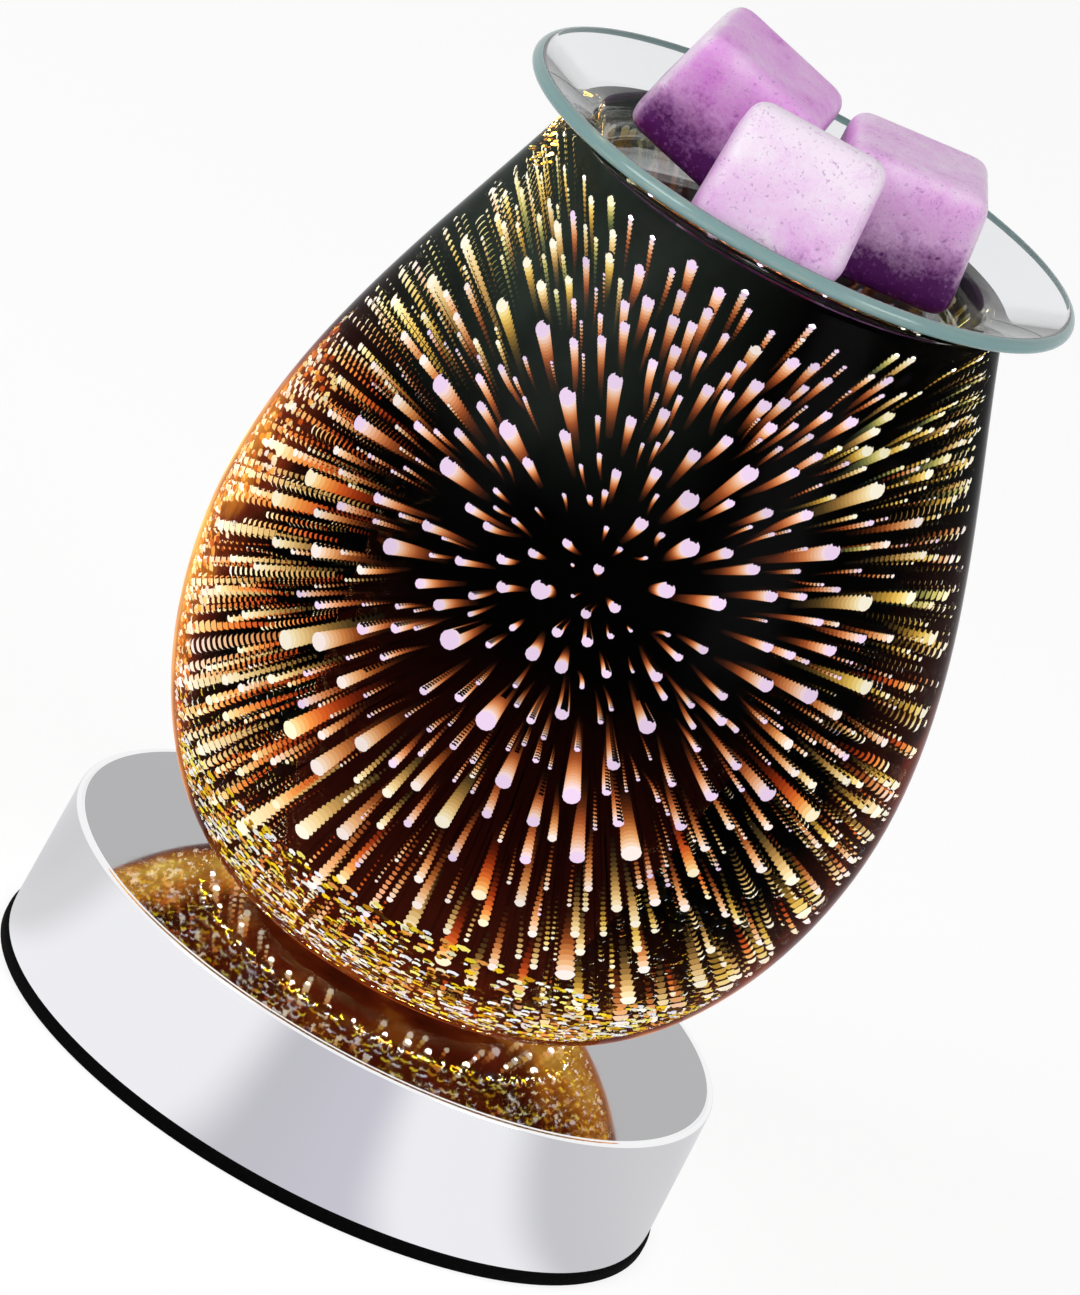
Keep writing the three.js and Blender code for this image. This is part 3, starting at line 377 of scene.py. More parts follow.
def litDot():  # light through an etched dot: its colour is stored on each dot
    mat, shader, _ = newMaterial("lit_dot", {
        "Base Color": (0, 0, 0, 1), "Roughness": 1.0, "Specular IOR Level": 0.0,
        "Emission Strength": coat["strength"]})
    addNode(mat, "Attribute", None, [("Color", shader["Emission Color"])], attribute_name="glow")
    mat.cycles.emission_sampling = "NONE"
    return mat


# Materials of the works inside

def zincSteel():  # zinc-plated steel: grey, with soft blotches
    return grainBody("zinc_plated_steel", {"Metallic": 1.0}, 3, 5.0, ("#A8AAAE", "#C6C8CB"), (0.25, 0.45))


def plainBrass():  # pressed brass: warm yellow, duller where it has tarnished
    return grainBody("pressed_brass", {"Metallic": 1.0}, 2.5, 4.0, ("#CFAE62", "#A98742"), (0.2, 0.4))


def aluminisedGlass():  # silvered reflector: bright, with shallow facets in its bowl
    bright = {"Base Color": linear("#DDDEE0"), "Metallic": 1.0, "Roughness": 0.12}
    return cellBody("aluminised_reflector", bright, 4, None, (0.4, 0.3))


def bulbGlass():  # clear pressed bulb glass with a pebbled face
    clear = {"Base Color": (1, 1, 1, 1), "Roughness": 0.05, "IOR": 1.5, "Transmission Weight": 1.0}
    return cellBody("pebbled_bulb_glass", clear, 2.2, None, (0.5, 0.2))


def plainSolid(name, dark, pale, width, rough, grain):  # moulded or fired: two close tones, a fine grain
    return grainBody(name, {"Specular IOR Level": 0.4}, width, 4.0, (dark, pale),
                     (rough - 0.08, rough + 0.08), (0.3, grain))


finishes = {
    "pad_foam": foamRubber(),
    "chrome_plate": chromePlate(),
    "zinc_steel": zincSteel(),
    "brass": plainBrass(),
    "black_rubber": mouldedRubber(),
    "silicone": plainSolid("cast_silicone", "#BDBAB2", "#D2CFC8", 1.5, 0.55, 0.03),
    "globe_glass": oneWayGlass(),
    "liner_mirror": etchedMirror(),
    "dish_glass": pressedGlass(),
    "bulb_glass": bulbGlass(),
    "bulb_mirror": aluminisedGlass(),
    "white_ceramic": plainSolid("fired_ceramic", "#E6E2D8", "#F3F0E8", 0.8, 0.5, 0.04),
    "white_nylon": plainSolid("moulded_nylon", "#DEDCD5", "#EBE9E3", 1.2, 0.45, 0.02),
    "black_plastic": plainSolid("moulded_abs", "#17171A", "#212124", 0.7, 0.5, 0.04),
    "board": plainSolid("circuit_board", "#265A36", "#347547", 0.9, 0.45, 0.02),
    "brown_wire": plainSolid("brown_pvc_sleeve", "#4E2B15", "#643A1F", 1.0, 0.4, 0.02),
    "blue_wire": plainSolid("blue_pvc_sleeve", "#234488", "#3158A6", 1.0, 0.4, 0.02),
    "yellow_wire": plainSolid("yellow_pvc_sleeve", "#B8931F", "#D4AF3A", 1.0, 0.4, 0.02),
    "light_points": litDot(),
    "lilac_wax": castWax(),
}
for subpart in frame["record"]["subparts"]:
    mesh = nodes[subpart["node"]].data
    mesh.materials.clear()
    mesh.materials.append(finishes[subpart["material_slot"]])
print("materials ready:", len(finishes))


# Outlines are lists of (radius, height) in millimetres

def arcOutline(middle, radius, start, end, steps):
    angles = [radians(start + (end - start) * i / steps) for i in range(steps + 1)]
    return [(middle[0] + radius * cos(a), middle[1] + radius * sin(a)) for a in angles]


def curveOutline(a, b, c, d, steps, inset=0.0):  # a Bezier curve, moved this far to the inside
    points = []
    for i in range(steps + 1):
        t = i / steps
        s = 1 - t
        at = [s ** 3 * a[k] + 3 * s * s * t * b[k] + 3 * s * t * t * c[k] + t ** 3 * d[k] for k in (0, 1)]
        way = [s * s * (b[k] - a[k]) + 2 * s * t * (c[k] - b[k]) + t * t * (d[k] - c[k]) for k in (0, 1)]
        pace = hypot(*way)
        points.append((at[0] - way[1] / pace * inset, at[1] + way[0] / pace * inset))
    return points


turned = {"weld": 0.002, "sliver": 0.001}


def turnPiece(name, outline, own, closedRing):  # own is the piece's dictionary
    bpy.ops.mesh.primitive_plane_add(size=mm)
    piece = bpy.context.object
    piece.name = piece.data.name = name
    bpy.ops.object.mode_set(mode="EDIT")
    bpy.ops.mesh.merge(type="CENTER")
    bpy.ops.transform.translate(value=(outline[0][0] * mm, 0, outline[0][1] * mm))
    stops = outline[1:] + outline[:1] if closedRing else outline[1:]
    for last, stop in zip(outline, stops):
        step = ((stop[0] - last[0]) * mm, 0, (stop[1] - last[1]) * mm)
        bpy.ops.mesh.extrude_region_move(TRANSFORM_OT_translate={"value": step})
    bpy.ops.mesh.select_all(action="SELECT")
    bpy.ops.mesh.spin(steps=own["steps"], angle=2 * pi, center=(0, 0, 0), axis=(0, 0, 1))
    bpy.ops.mesh.select_all(action="SELECT")
    bpy.ops.mesh.remove_doubles(threshold=turned["weld"] * mm)
    bpy.ops.mesh.dissolve_degenerate(threshold=turned["sliver"] * mm)
    bpy.ops.mesh.normals_make_consistent(inside=False)
    bpy.ops.object.mode_set(mode="OBJECT")
    bpy.ops.object.shade_smooth_by_angle(angle=radians(own["smooth"]))
    return piece


def pick(piece):
    bpy.ops.object.select_all(action="DESELECT")
    piece.select_set(True)
    bpy.context.view_layer.objects.active = piece


def changeShape(piece, kind, **settings):
    change = piece.modifiers.new("change", kind)
    for name, value in settings.items():
        setattr(change, name, value)
    bpy.ops.object.modifier_apply(modifier=change.name)


def dress(piece, body, slotName, *replaced):
    piece.data.materials.clear()
    piece.data.materials.append(finishes[slotName])
    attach(piece, body)
    if replaced:
        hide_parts(*replaced)


def size(node):  # radius, lowest and highest point of a turned node, in millimetres
    low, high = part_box(node)
    return tuple(round(value / mm, 3) for value in (high.x, low.z, high.z))


# Base pad
pad = {"edge": 0.6, "edgeSteps": 5, "steps": 160, "smooth": 32}


def makePad():
    radius, low, high = size("base_pad")
    edge = pad["edge"]
    outline = [(0, low)]
    outline += arcOutline((radius - edge, low + edge), edge, -90, 0, pad["edgeSteps"])
    outline += arcOutline((radius - edge, high - edge), edge, 0, 90, pad["edgeSteps"])
    outline += [(0, high)]
    piece = turnPiece("foam_pad", outline, pad, False)
    dress(piece, "lamp", "pad_foam", "base_pad")


# Chrome drum: a spun shell with a rolled edge, a fine groove round its mirror top and four posts inside
drum = {"sheet": 1.2, "flare": 0.6, "edge": 0.6, "edgeSteps": 8, "groove": 0.3, "grooveIn": 0.5,
        "hole": 5.2, "steps": 192, "smooth": 32, "posts": 4, "postRadius": 3.6, "postSides": 32,
        "postInset": 9, "plateTop": 4.5, "leadRadius": 4.9, "leadHeight": 12, "leadSides": 48,
        "leadDepth": 6, "topLevel": 0.9, "topWithin": 0.1}


def drumTools(reach, depth, wall):  # the posts to be joined on, then the cut for the lead
    tools = []
    for i in range(drum["posts"]):
        angle = (i + 0.5) * 2 * pi / drum["posts"]
        bpy.ops.mesh.primitive_cylinder_add(
            vertices=drum["postSides"], radius=drum["postRadius"] * mm, depth=depth,
            location=(reach * cos(angle), reach * sin(angle), drum["plateTop"] * mm + depth / 2))
        tools.append((bpy.context.object, "UNION"))
    bpy.ops.mesh.primitive_cylinder_add(
        vertices=drum["leadSides"], radius=drum["leadRadius"] * mm, depth=drum["leadDepth"] * mm,
        location=(0, wall, drum["leadHeight"] * mm), rotation=(pi / 2, 0, 0))
    return tools + [(bpy.context.object, "DIFFERENCE")]


def makeDrum():
    foot, low, high = size("base_shell")
    top = foot - drum["flare"]
    edge, sheet, groove = drum["edge"], drum["sheet"], drum["groove"]
    grooveAt = top - edge - drum["grooveIn"]
    outline = [(foot - sheet, low), (foot, low), (foot - drum["flare"] / 2, (low + high) / 2)]
    outline += arcOutline((top - edge, high - edge), edge, 0, 90, drum["edgeSteps"])
    outline += [(grooveAt + groove, high), (grooveAt, high - groove), (grooveAt - groove, high)]
    outline += [(drum["hole"], high), (drum["hole"], high - sheet), (top - sheet, high - sheet)]
    piece = turnPiece("chrome_drum", outline, drum, True)
    reach = (top - sheet - drum["postInset"]) * mm
    depth = (high - sheet / 2 - drum["plateTop"]) * mm
    for tool, way in drumTools(reach, depth, foot * mm):
        pick(piece)
        changeShape(piece, "BOOLEAN", operation=way, object=tool, solver="EXACT")
        bpy.data.objects.remove(tool)
    bpy.ops.object.shade_smooth_by_angle(angle=radians(drum["smooth"]))
    dress(piece, "lamp", "chrome_plate", "base_shell")
    piece.data.materials.append(mirrorTop())
    for face in piece.data.polygons:
        inside = hypot(face.center.x, face.center.y) < grooveAt * mm
        level = face.normal.z > drum["topLevel"]
        if inside and level and face.center.z > (high - drum["topWithin"]) * mm:
            face.material_index = 1


# Rubber grommet where the mains lead comes in
grommet = {"bore": 3.4, "neck": 4.6, "flangeThickness": 1.2, "round": 0.45, "roundSteps": 4, "height": 12,
           "steps": 64, "smooth": 32}


def makeGrommet():
    low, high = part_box("cord_grommet")
    inner, outer = low.y / mm, high.y / mm
    bore, neck, thick = grommet["bore"], grommet["neck"], grommet["flangeThickness"]
    flange, edge, edgeSteps = high.x / mm, grommet["round"], grommet["roundSteps"]
    outline = [(bore, inner)]
    outline += arcOutline((flange - edge, inner + edge), edge, -90, 0, edgeSteps)
    outline += [(flange, inner + thick), (neck, inner + thick)]
    outline += [(neck, outer - thick), (flange, outer - thick)]
    outline += arcOutline((flange - edge, outer - edge), edge, 0, 90, edgeSteps)
    outline += arcOutline((bore + edge, outer - edge), edge, 90, 180, edgeSteps)
    piece = turnPiece("lead_grommet", outline, grommet, True)
    lift = Matrix.Translation((0, 0, grommet["height"] * mm))
    piece.data.transform(lift @ Matrix.Rotation(-pi / 2, 4, "X"))
    dress(piece, "lamp", "black_rubber", "cord_grommet")


# Outer glass globe: two curves that meet at the belly, a thicker rim and a flat floor with a hole
globe = {"wall": 0.6, "rimRound": 1.0, "rimArc": (10, 190), "rimSteps": 10, "rimDrop": 5, "floor": 2.4,
         "foot": 24, "footReach": 22, "bellyHeight": 58, "roundness": 28, "neck": 39.6, "neckLean": 8.4,
         "neckDrop": 25, "hole": 5.4, "floorRadius": 28, "steps": 160, "curveSteps": 26, "smooth": 60}


def globeSide(inset):
    belly, low, high = size("glass_globe")
    rim = high - globe["rimRound"]
    middle = low + globe["bellyHeight"]
    foot, neck, bend, steps = (globe[name] for name in ("foot", "neck", "roundness", "curveSteps"))
    lower = curveOutline((foot, low), (foot + globe["footReach"], low),
                         (belly, middle - bend), (belly, middle), steps, inset)
    upper = curveOutline((belly, middle), (belly, middle + bend),
                         (neck + globe["neckLean"], rim - globe["neckDrop"]), (neck, rim), steps, inset)
    return lower + upper[1:]


def makeGlobe():
    low, high = size("glass_globe")[1:]
    wall, floor, edge = globe["wall"], low + globe["floor"], globe["rimRound"]
    inside = [p for p in globeSide(wall) if floor + wall / 2 < p[1] < high - globe["rimDrop"]]
    outline = [(globe["hole"], low)] + globeSide(0)[:-1]
    outline += arcOutline((globe["neck"] - edge, high - edge), edge, *globe["rimArc"], globe["rimSteps"])
    outline += inside[::-1]
    outline += [(globe["floorRadius"], floor), (globe["hole"], floor)]
    piece = turnPiece("glass_globe_shell", outline, globe, True)
    dress(piece, "lamp", "globe_glass", "glass_globe")


# Inner mirror glass that carries the dots
liner = {"wall": 1.6, "foot": 24, "mouth": 28.6, "belly": 36.0, "bulgeStart": 41.3, "bulgeEnd": 88.5,
         "steps": 96, "curveSteps": 36, "smooth": 60}


def linerSide(inset):
    low, high = size("mirror_liner")[1:]
    foot, mouth = liner["foot"], liner["mouth"]
    bulge = (8 * liner["belly"] - foot - mouth) / 6  # brings the middle of the curve to the belly
    middle = [(bulge - inset, low + liner[name]) for name in ("bulgeStart", "bulgeEnd")]
    return curveOutline((foot - inset, low), *middle, (mouth - inset, high), liner["curveSteps"])


def makeLiner():
    outline = linerSide(0) + linerSide(liner["wall"])[::-1]
    piece = turnPiece("etched_liner", outline, liner, True)
    dress(piece, "lamp", "liner_mirror", "mirror_liner")


# Glass dish: a well inside the neck and a conical rim with a rounded edge
dish = {"glass": 2.6, "slope": 24.6, "shoulder": 3.7, "shoulderSteps": 10, "depth": 7.5, "floorRound": 3.0,
        "floorSteps": 8, "wellOuter": 37.0, "underRound": 1.2, "edgeSteps": 12, "steps": 192, "smooth": 50}


def makeDish():
    radius, low, _ = size("glass_dish")
    glass, depth, floorRound = dish["glass"], dish["depth"], dish["floorRound"]
    slope = radians(dish["slope"])
    level = low + depth + glass  # height of the ring where the well meets the rim
    outer, inner = dish["wellOuter"], dish["wellOuter"] - glass
    shoulder = inner + dish["shoulder"]
    half = glass / 2

    def rimHeight(at):
        return level + (at - shoulder) * tan(slope)

    bend = arcOutline((shoulder, 0), dish["shoulder"], 180, 90 + dish["slope"], dish["shoulderSteps"])
    lift = rimHeight(bend[-1][0]) - bend[-1][1]
    edgeMiddle = (radius - half, rimHeight(radius - half) - half / cos(slope))
    bottom = level - depth
    outline = [(0, bottom)]
    outline += arcOutline((inner - floorRound, bottom + floorRound), floorRound, -90, 0, dish["floorSteps"])
    outline += [(r, z + lift) for r, z in bend]
    outline += arcOutline(edgeMiddle, half, 90 + dish["slope"], dish["slope"] - 90, dish["edgeSteps"])
    turn = dish["underRound"]
    under = rimHeight(outer + turn) - glass / cos(slope)
    outline += [(outer + turn, under), (outer, under - turn)]
    underRound = floorRound + glass
    outline += arcOutline((outer - underRound, bottom + floorRound), underRound, 0, -90, dish["floorSteps"])
    outline += [(0, low)]
    piece = turnPiece("pressed_dish", outline, dish, False)
    dress(piece, "dish", "dish_glass", "glass_dish")
    piece.data.materials.append(glassEdge())
    for face in piece.data.polygons:
        if hypot(face.center.x, face.center.y) > (radius - half) * mm:
            face.material_index = 1


makePad()
makeDrum()
makeGrommet()
makeGlobe()
makeLiner()
makeDish()
print("turned pieces ready")


# Wax melts: cast blocks with a soft uneven skin, pitted where air was caught. Painted light makes a face
# paler.
melts = {
    "voxel": 0.5, "weld": 0.01,
    "smoothing": 10, "smoothShare": 0.5,
    "pitReach": (0.25, 0.6), "pitDepth": 0.3, "pitCurve": 1.5, "pitShade": 0.5,
    "sides": ("front", "back", "left", "right", "top"), "sideBlend": 4, "leastShare": 0.05,
    "edgeStart": 1.25, "edgeMost": 0.5, "edgePale": 0.5,  # rounded edges are paler
    "lowPaintedLight": 0.5,  # share of the painted light that is left at the bottom
    # painted shade: deep purple below a share of the height, less where there is painted light, and in the
    # pits
    "shadeFrom": 0.68, "shadeOver": 0.5, "shadeUnderLight": 0.75, "shadeLess": 0.24,
    # front, back, left, right and top give the painted light on each side, and the last column the painted
    # shade low down
    "blocks": table(
        "node body seed pits yaw lean towards front back left right top deep",
        ("wax_melt_front", "front_melt", 5, 70, 1.6, 21.4, 90, 0.96, 0.5, 0.7, 0.7, 1.0, 0.0),
        ("wax_melt_left", "left_melt", 6, 60, -3.4, 14.5, -16, 0.24, 0.5, 0.85, 0.25, 0.28, 1.7),
        ("wax_melt_right", "right_melt", 7, 80, 7.5, 3.6, 205, 0.52, 0.5, 0.3, 0.75, 0.5, 2.3)),
}


def meltAxes(own):  # the melt's own axes, as it leans in the dish
    towards = radians(own["towards"])
    hinge = Vector((-sin(towards), cos(towards), 0))
    lean = Matrix.Rotation(radians(own["lean"]), 3, hinge)
    return np.array(lean @ Matrix.Rotation(radians(own["yaw"]), 3, "Z"))


def readPoints(mesh, what):
    values = np.empty(len(mesh.vertices) * 3)
    mesh.vertices.foreach_get(what, values)
    return values.reshape(-1, 3)


def sinkPits(points, own):  # how far each point sinks where air was caught
    draw = np.random.default_rng(own["seed"])
    sink = np.zeros(len(points))
    for _ in range(own["pits"]):
        at = points[draw.integers(len(points))]
        reach = draw.uniform(*melts["pitReach"]) * mm
        near = np.clip(1 - (np.linalg.norm(points - at, axis=1) / reach) ** 2, 0, 1)
        sink = np.maximum(sink, near ** melts["pitCurve"] * melts["pitDepth"] * mm)
    return sink


def waxTones(points, normals, sink, own):  # how much painted light and how much painted shade each point has
    axes = meltAxes(own)
    facing, local = normals @ axes, points @ axes
    height = (local[:, 2] - local[:, 2].min()) / np.ptp(local[:, 2])
    shares = np.stack([-facing[:, 1], facing[:, 1], -facing[:, 0], facing[:, 0], facing[:, 2]], axis=1)
    shares = np.clip(shares, 0, 1) ** melts["sideBlend"]
    values = np.array([own[name] for name in melts["sides"]])
    paintedLight = shares @ values / np.maximum(shares.sum(axis=1), melts["leastShare"])
    edge = np.clip(melts["edgeStart"] - np.abs(facing).max(axis=1), 0, melts["edgeMost"])
    low = melts["lowPaintedLight"]
    paintedLight = paintedLight * (low + (1 - low) * height) + edge * melts["edgePale"]
    # painted shade in the pits and towards the bottom
    pit = sink / (melts["pitDepth"] * mm)
    below = np.clip((melts["shadeFrom"] - height) / melts["shadeOver"], 0, 1)
    deep = own["deep"] * below * (1 - melts["shadeUnderLight"] * paintedLight)
    return {"paintedLight": paintedLight, "deep": deep + pit * melts["pitShade"] - melts["shadeLess"]}


def makeMelt(own):
    node = own["node"]
    piece = bpy.data.objects.new(node.replace("wax_melt", "cast_melt"), nodes[node].data.copy())
    bpy.context.scene.collection.objects.link(piece)
    pick(piece)
    bpy.ops.object.mode_set(mode="EDIT")
    bpy.ops.mesh.select_all(action="SELECT")
    bpy.ops.mesh.remove_doubles(threshold=melts["weld"] * mm)
    bpy.ops.object.mode_set(mode="OBJECT")
    changeShape(piece, "REMESH", mode="VOXEL", voxel_size=melts["voxel"] * mm)
    changeShape(piece, "SMOOTH", factor=melts["smoothShare"], iterations=melts["smoothing"])
    mesh = piece.data
    points, normals = readPoints(mesh, "co"), readPoints(mesh, "normal")
    sink = sinkPits(points, own)
    mesh.vertices.foreach_set("co", (points - normals * sink[:, None]).ravel())
    for name, value in waxTones(points, normals, sink, own).items():
        mesh.attributes.new(name, "FLOAT", "POINT").data.foreach_set("value", value.astype(np.float32))
    mesh.update()
    bpy.ops.object.shade_smooth()
    dress(piece, own["body"], "lilac_wax", node)


for block in melts["blocks"]:
    makeMelt(block)
print("wax melts ready")


# Rows of lit dots: each runs from just under the outer glass towards one point on the axis, on a stem from
# the liner. The large and the middle rows stand where the part has its rods, and the others lie between.
dots = {
    "centre": 98,  # height of that point
    "seed": 11,
    "tries": 30,
    "pitch": 0.95,  # from one reflection of a dot to the next
    "under": 0.12,  # first dot clear of the inside of the glass
    "thick": 0.46,
    "flatAbove": 100,  # from here up the dots are flatter and face out almost level
    "flatness": (0.22, 0.6),  # thickness for its radius, there and below
    "neck": (150, 158),  # where it starts and where it is full
    "levelBy": (8, -10),  # degrees up that they face, below and at the neck
    "skyward": (0.55, 0.05),  # faces that look up more steeply than this are dark, below and at the neck
    "unlit": 0.003,  # light left on dark faces
    "bend": 0.55,  # how far a row swings sideways at its end
    "reachLimit": 60, "reachStep": 0.2,
    "stemRadius": 0.09, "stemRoot": 0.5,
    "stemStart": 3,  # behind the first dot, in its radii
    "taper": 0.58,
    "fade": 0.65,  # how soon a row darkens
    "slowFade": 0.45,  # how much less it darkens where it glows
    "glowGain": 0.25,
    "lengths": (0.8, 1.15), "brightness": (0.85, 1.08),
    "lookWay": (0.95, 0.31),  # the middle of the burst faces this far out and up
    "asideFrom": 50, "asideOver": 25,  # degrees off the middle where the rows begin to change
    "left": {"glowing": 1, "fuller": 0.8, "shorter": 0.1, "smaller": 0.1},
    "right": {"glowing": 0.3, "fuller": 0.9, "shorter": 0.5, "smaller": 0},
    "kinds": table("name count small large apart lowest highest sides row thin dim",
                   ("large_rows", 150, 1.25, 1.7, 7.6, 38, 149, 12, 19, 0.0, 1),
                   ("middle_rows", 260, 0.75, 1.15, 4.8, 38, 149, 9, 16, 0.0, 1),
                   ("neck_rows", 210, 0.5, 1.2, 3.1, 149, 167.5, 9, 12, 0.0, 1),
                   ("foot_rows", 220, 0.4, 0.8, 3.0, 28.15, 38, 8, 9, 0.0, 0.85),
                   ("lesser_rows", 300, 0.6, 0.95, 3.6, 34, 165, 8, 15, 0.52, 1),
                   ("small_rows", 800, 0.3, 0.6, 2.4, 34, 165, 6, 12, 0.78, 1)),
    "tones": {
        "pink": ["#F1D6F3", "#F9DEE2", "#F3BE98", "#D98650", "#A04E24", "#5E2A12", "#2C1207", "#0C0502"],
        "peach": ["#FFF0E8", "#FBDCC0", "#F0B67E", "#D08246", "#944B1F", "#54250E", "#261006", "#0B0402"],
        "cream": ["#FFF6DF", "#FBE9BC", "#EDCB8A", "#C79A56", "#8A6632", "#4C3A1C", "#251B0D", "#0B0804"],
        "gold": ["#FFF7DC", "#FBE7A0", "#EDC660", "#C2953A", "#866626", "#4A3816", "#231A0A", "#0A0703"],
        "olive": ["#FBF3C8", "#EFE09A", "#C6BA68", "#8B8848", "#545734", "#2F3522", "#171B12", "#060805"],
        "red": ["#FFF1CC", "#FCD088", "#F09444", "#D05A22", "#92300E", "#521606", "#280A03", "#0B0301"],
    },
    "upper": 116, "neckTones": (142, 7), "upperWidth": (26, 4),  # heights and a half width, with spread
    "toneSpread": 6,
    "upperMiddle": 45, "middle": 42, "ring": 57,  # degrees off the middle
    "toneShares": {  # tones of each part of the burst, and the chance below which each is taken
        "middle": [("pink", 1)],
        "upper front": [("peach", 0.5), ("pink", 0.75), ("cream", 0.9), ("gold", 1)],
        "neck": [("gold", 0.45), ("olive", 0.7), ("cream", 1)],
        "ring": [("peach", 0.65), ("cream", 0.85), ("pink", 1)],
        "upper side": [("gold", 0.35), ("cream", 0.75), ("olive", 0.87), ("peach", 1)],
        "left": [("red", 0.6), ("peach", 0.75), ("cream", 1)],
        "right": [("cream", 0.4), ("gold", 0.7), ("peach", 0.85), ("red", 1)],
    },
}

# Flecks of light low on the glass, at its left edge, and a thin band of them under the dish
flecks = {
    "bands": table("name seed count from to crowd turn small large flat colours",
                   ("low_flecks", 21, 4200, 2.2, 24, 1.7, (0, 360), 0.35, 0.9, 0.6,
                    ["#FFFFF2", "#FFF9C8", "#FFF07A", "#FFE23C", "#F5C81E", "#C8901A", "#4A300A", "#F4F8FF",
                     "#F4A650"]),
                   ("neck_flecks", 22, 110, 129, 136.5, 0.7, (246, 292), 0.25, 0.55, 0.12,
                    ["#F2D27A", "#E0AE3C", "#B57E24", "#7A4E1A", "#4A2E10"]),
                   ("edge_flecks", 23, 560, 14, 92, 1.15, (262, 296), 0.4, 0.75, 0.6,
                    ["#FFFCEE", "#FFF0C4", "#FFDC8C", "#F8AE50", "#E47C2C", "#B84C16"])),
    "sides": 6, "stretch": 1.7, "under": 0.12, "brightness": (0.7, 1.1),
}

# Unit shape of a dot, and where its faces lie in its own cell of the bake: middle and reach
beadForm = {"rings": 4, "backBelow": -0.5, "backRise": 0.4, "litCell": (0.54, 0.42),
            "darkCell": (0.05, 0.04), "stemCell": [[0.1, 0.1], [0.9, 0.1], [0.5, 0.9]]}


def takeShape(piece):  # corner points and triangles of a modelled piece, which is then removed
    points = np.array([vertex.co for vertex in piece.data.vertices])
    faces = np.array([list(face.vertices) for face in piece.data.polygons])
    bpy.data.objects.remove(piece)
    return points, faces


def modelBead(sides):  # a dome of unit size with a low point behind
    bpy.ops.mesh.primitive_uv_sphere_add(segments=sides, ring_count=beadForm["rings"], radius=1)
    bead = bpy.context.object
    bpy.ops.object.mode_set(mode="EDIT")
    bpy.ops.mesh.select_mode(type="VERT")
    bpy.ops.mesh.select_all(action="DESELECT")
    bpy.ops.object.mode_set(mode="OBJECT")
    for vertex in bead.data.vertices:
        vertex.select = vertex.co.z < beadForm["backBelow"]
    bpy.ops.object.mode_set(mode="EDIT")
    bpy.ops.mesh.merge(type="CENTER")
    bpy.ops.transform.translate(value=(0, 0, beadForm["backRise"]))
    bpy.ops.mesh.select_all(action="SELECT")
    bpy.ops.mesh.quads_convert_to_tris()
    bpy.ops.object.mode_set(mode="OBJECT")
    return takeShape(bead)


def modelStem():  # a thin three-sided rod of unit length
    bpy.ops.mesh.primitive_cylinder_add(vertices=3, radius=1, depth=1, location=(0, 0, -0.5))
    bpy.ops.object.transform_apply(location=True)
    bpy.ops.object.mode_set(mode="EDIT")
    bpy.ops.mesh.quads_convert_to_tris()
    bpy.ops.object.mode_set(mode="OBJECT")
    return takeShape(bpy.context.object)


burstCentre = np.array([0, 0, dots["centre"]])
glassSide = np.array(globeSide(0))
linerWall = np.array(linerSide(0))


def unit(way):
    return way / np.linalg.norm(way)


def glassBetween(inset, lowest, highest):  # the globe's outline between two heights, and its summed area
    side = np.array([p for p in globeSide(inset) if lowest < p[1] < highest])
    areas = np.linalg.norm(np.diff(side, axis=0), axis=1) * (side[1:, 0] + side[:-1, 0]) / 2
    return side, np.concatenate([[0], np.cumsum(areas)])


def spotOn(side, sums, share, turn):
    radius, height = (np.interp(share * sums[-1], sums, side[:, k]) for k in (0, 1))
    return np.array([radius * sin(turn), -radius * cos(turn), height])


def numbers(seed):  # the same numbers from 0 to 1 that place the part's own rods
    while True:
        seed = (seed * 1664525 + 1013904223) % 2 ** 32
        yield seed / 2 ** 32


def spreadRows():  # places on the outside of the glass, the large rows first, none too near another
    draw = numbers(dots["seed"])
    taken, gaps, rows = np.empty((0, 3)), np.empty(0), {}
    for kind in dots["kinds"]:
        side, sums = glassBetween(0, kind["lowest"], kind["highest"])
        made, tries = [], 0
        while len(made) < kind["count"] and tries < dots["tries"] * kind["count"]:
            tries += 1
            share = next(draw)
            at = spotOn(side, sums, share, next(draw) * 2 * pi)
            if len(taken) and (np.linalg.norm(taken - at, axis=1) - gaps - kind["apart"] / 2).min() < 0:
                continue
            taken, gaps = np.vstack([taken, at]), np.append(gaps, kind["apart"] / 2)
            made.append((at, kind["small"] + (kind["large"] - kind["small"]) * next(draw)))
        rows[kind["name"]] = made
        print(kind["name"], len(made), "rows")
    return rows


def offMiddle(at):  # degrees between a row and the middle of the burst's front or back
    outward = unit(at - burstCentre)
    out, up = dots["lookWay"]
    return degrees(acos(min(1, abs(outward[1]) * out + outward[2] * up)))


def burstPart(at, off, draw):
    if at[2] > dots["upper"] and abs(at[0]) < dots["upperWidth"][0] + draw.normal(0, dots["upperWidth"][1]):
        return "middle" if off < dots["upperMiddle"] else "upper front"
    if at[2] > dots["neckTones"][0] + draw.normal(0, dots["neckTones"][1]):
        return "neck"
    if off < dots["ring"]:
        return "middle" if off < dots["middle"] else "ring"
    if at[2] > dots["upper"]:
        return "upper side"
    return "left" if at[0] < 0 else "right"


def toneAt(at, draw):  # pink in the middle, peach round it, gold and red at the sides, olive at the neck
    off = offMiddle(at) + draw.normal(0, dots["toneSpread"])
    chance = draw.uniform()
    shares = dots["toneShares"][burstPart(at, off, draw)]
    return next(tone for tone, below in shares if chance < below)


def depthToLiner(at, way):
    run = np.arange(0, dots["reachLimit"], dots["reachStep"])
    along = at + way * run[:, None]
    limit = np.interp(along[:, 2], linerWall[:, 1], linerWall[:, 0], left=0, right=0)
    return run[(np.hypot(along[:, 0], along[:, 1]) < limit).argmax()] - globe["wall"]


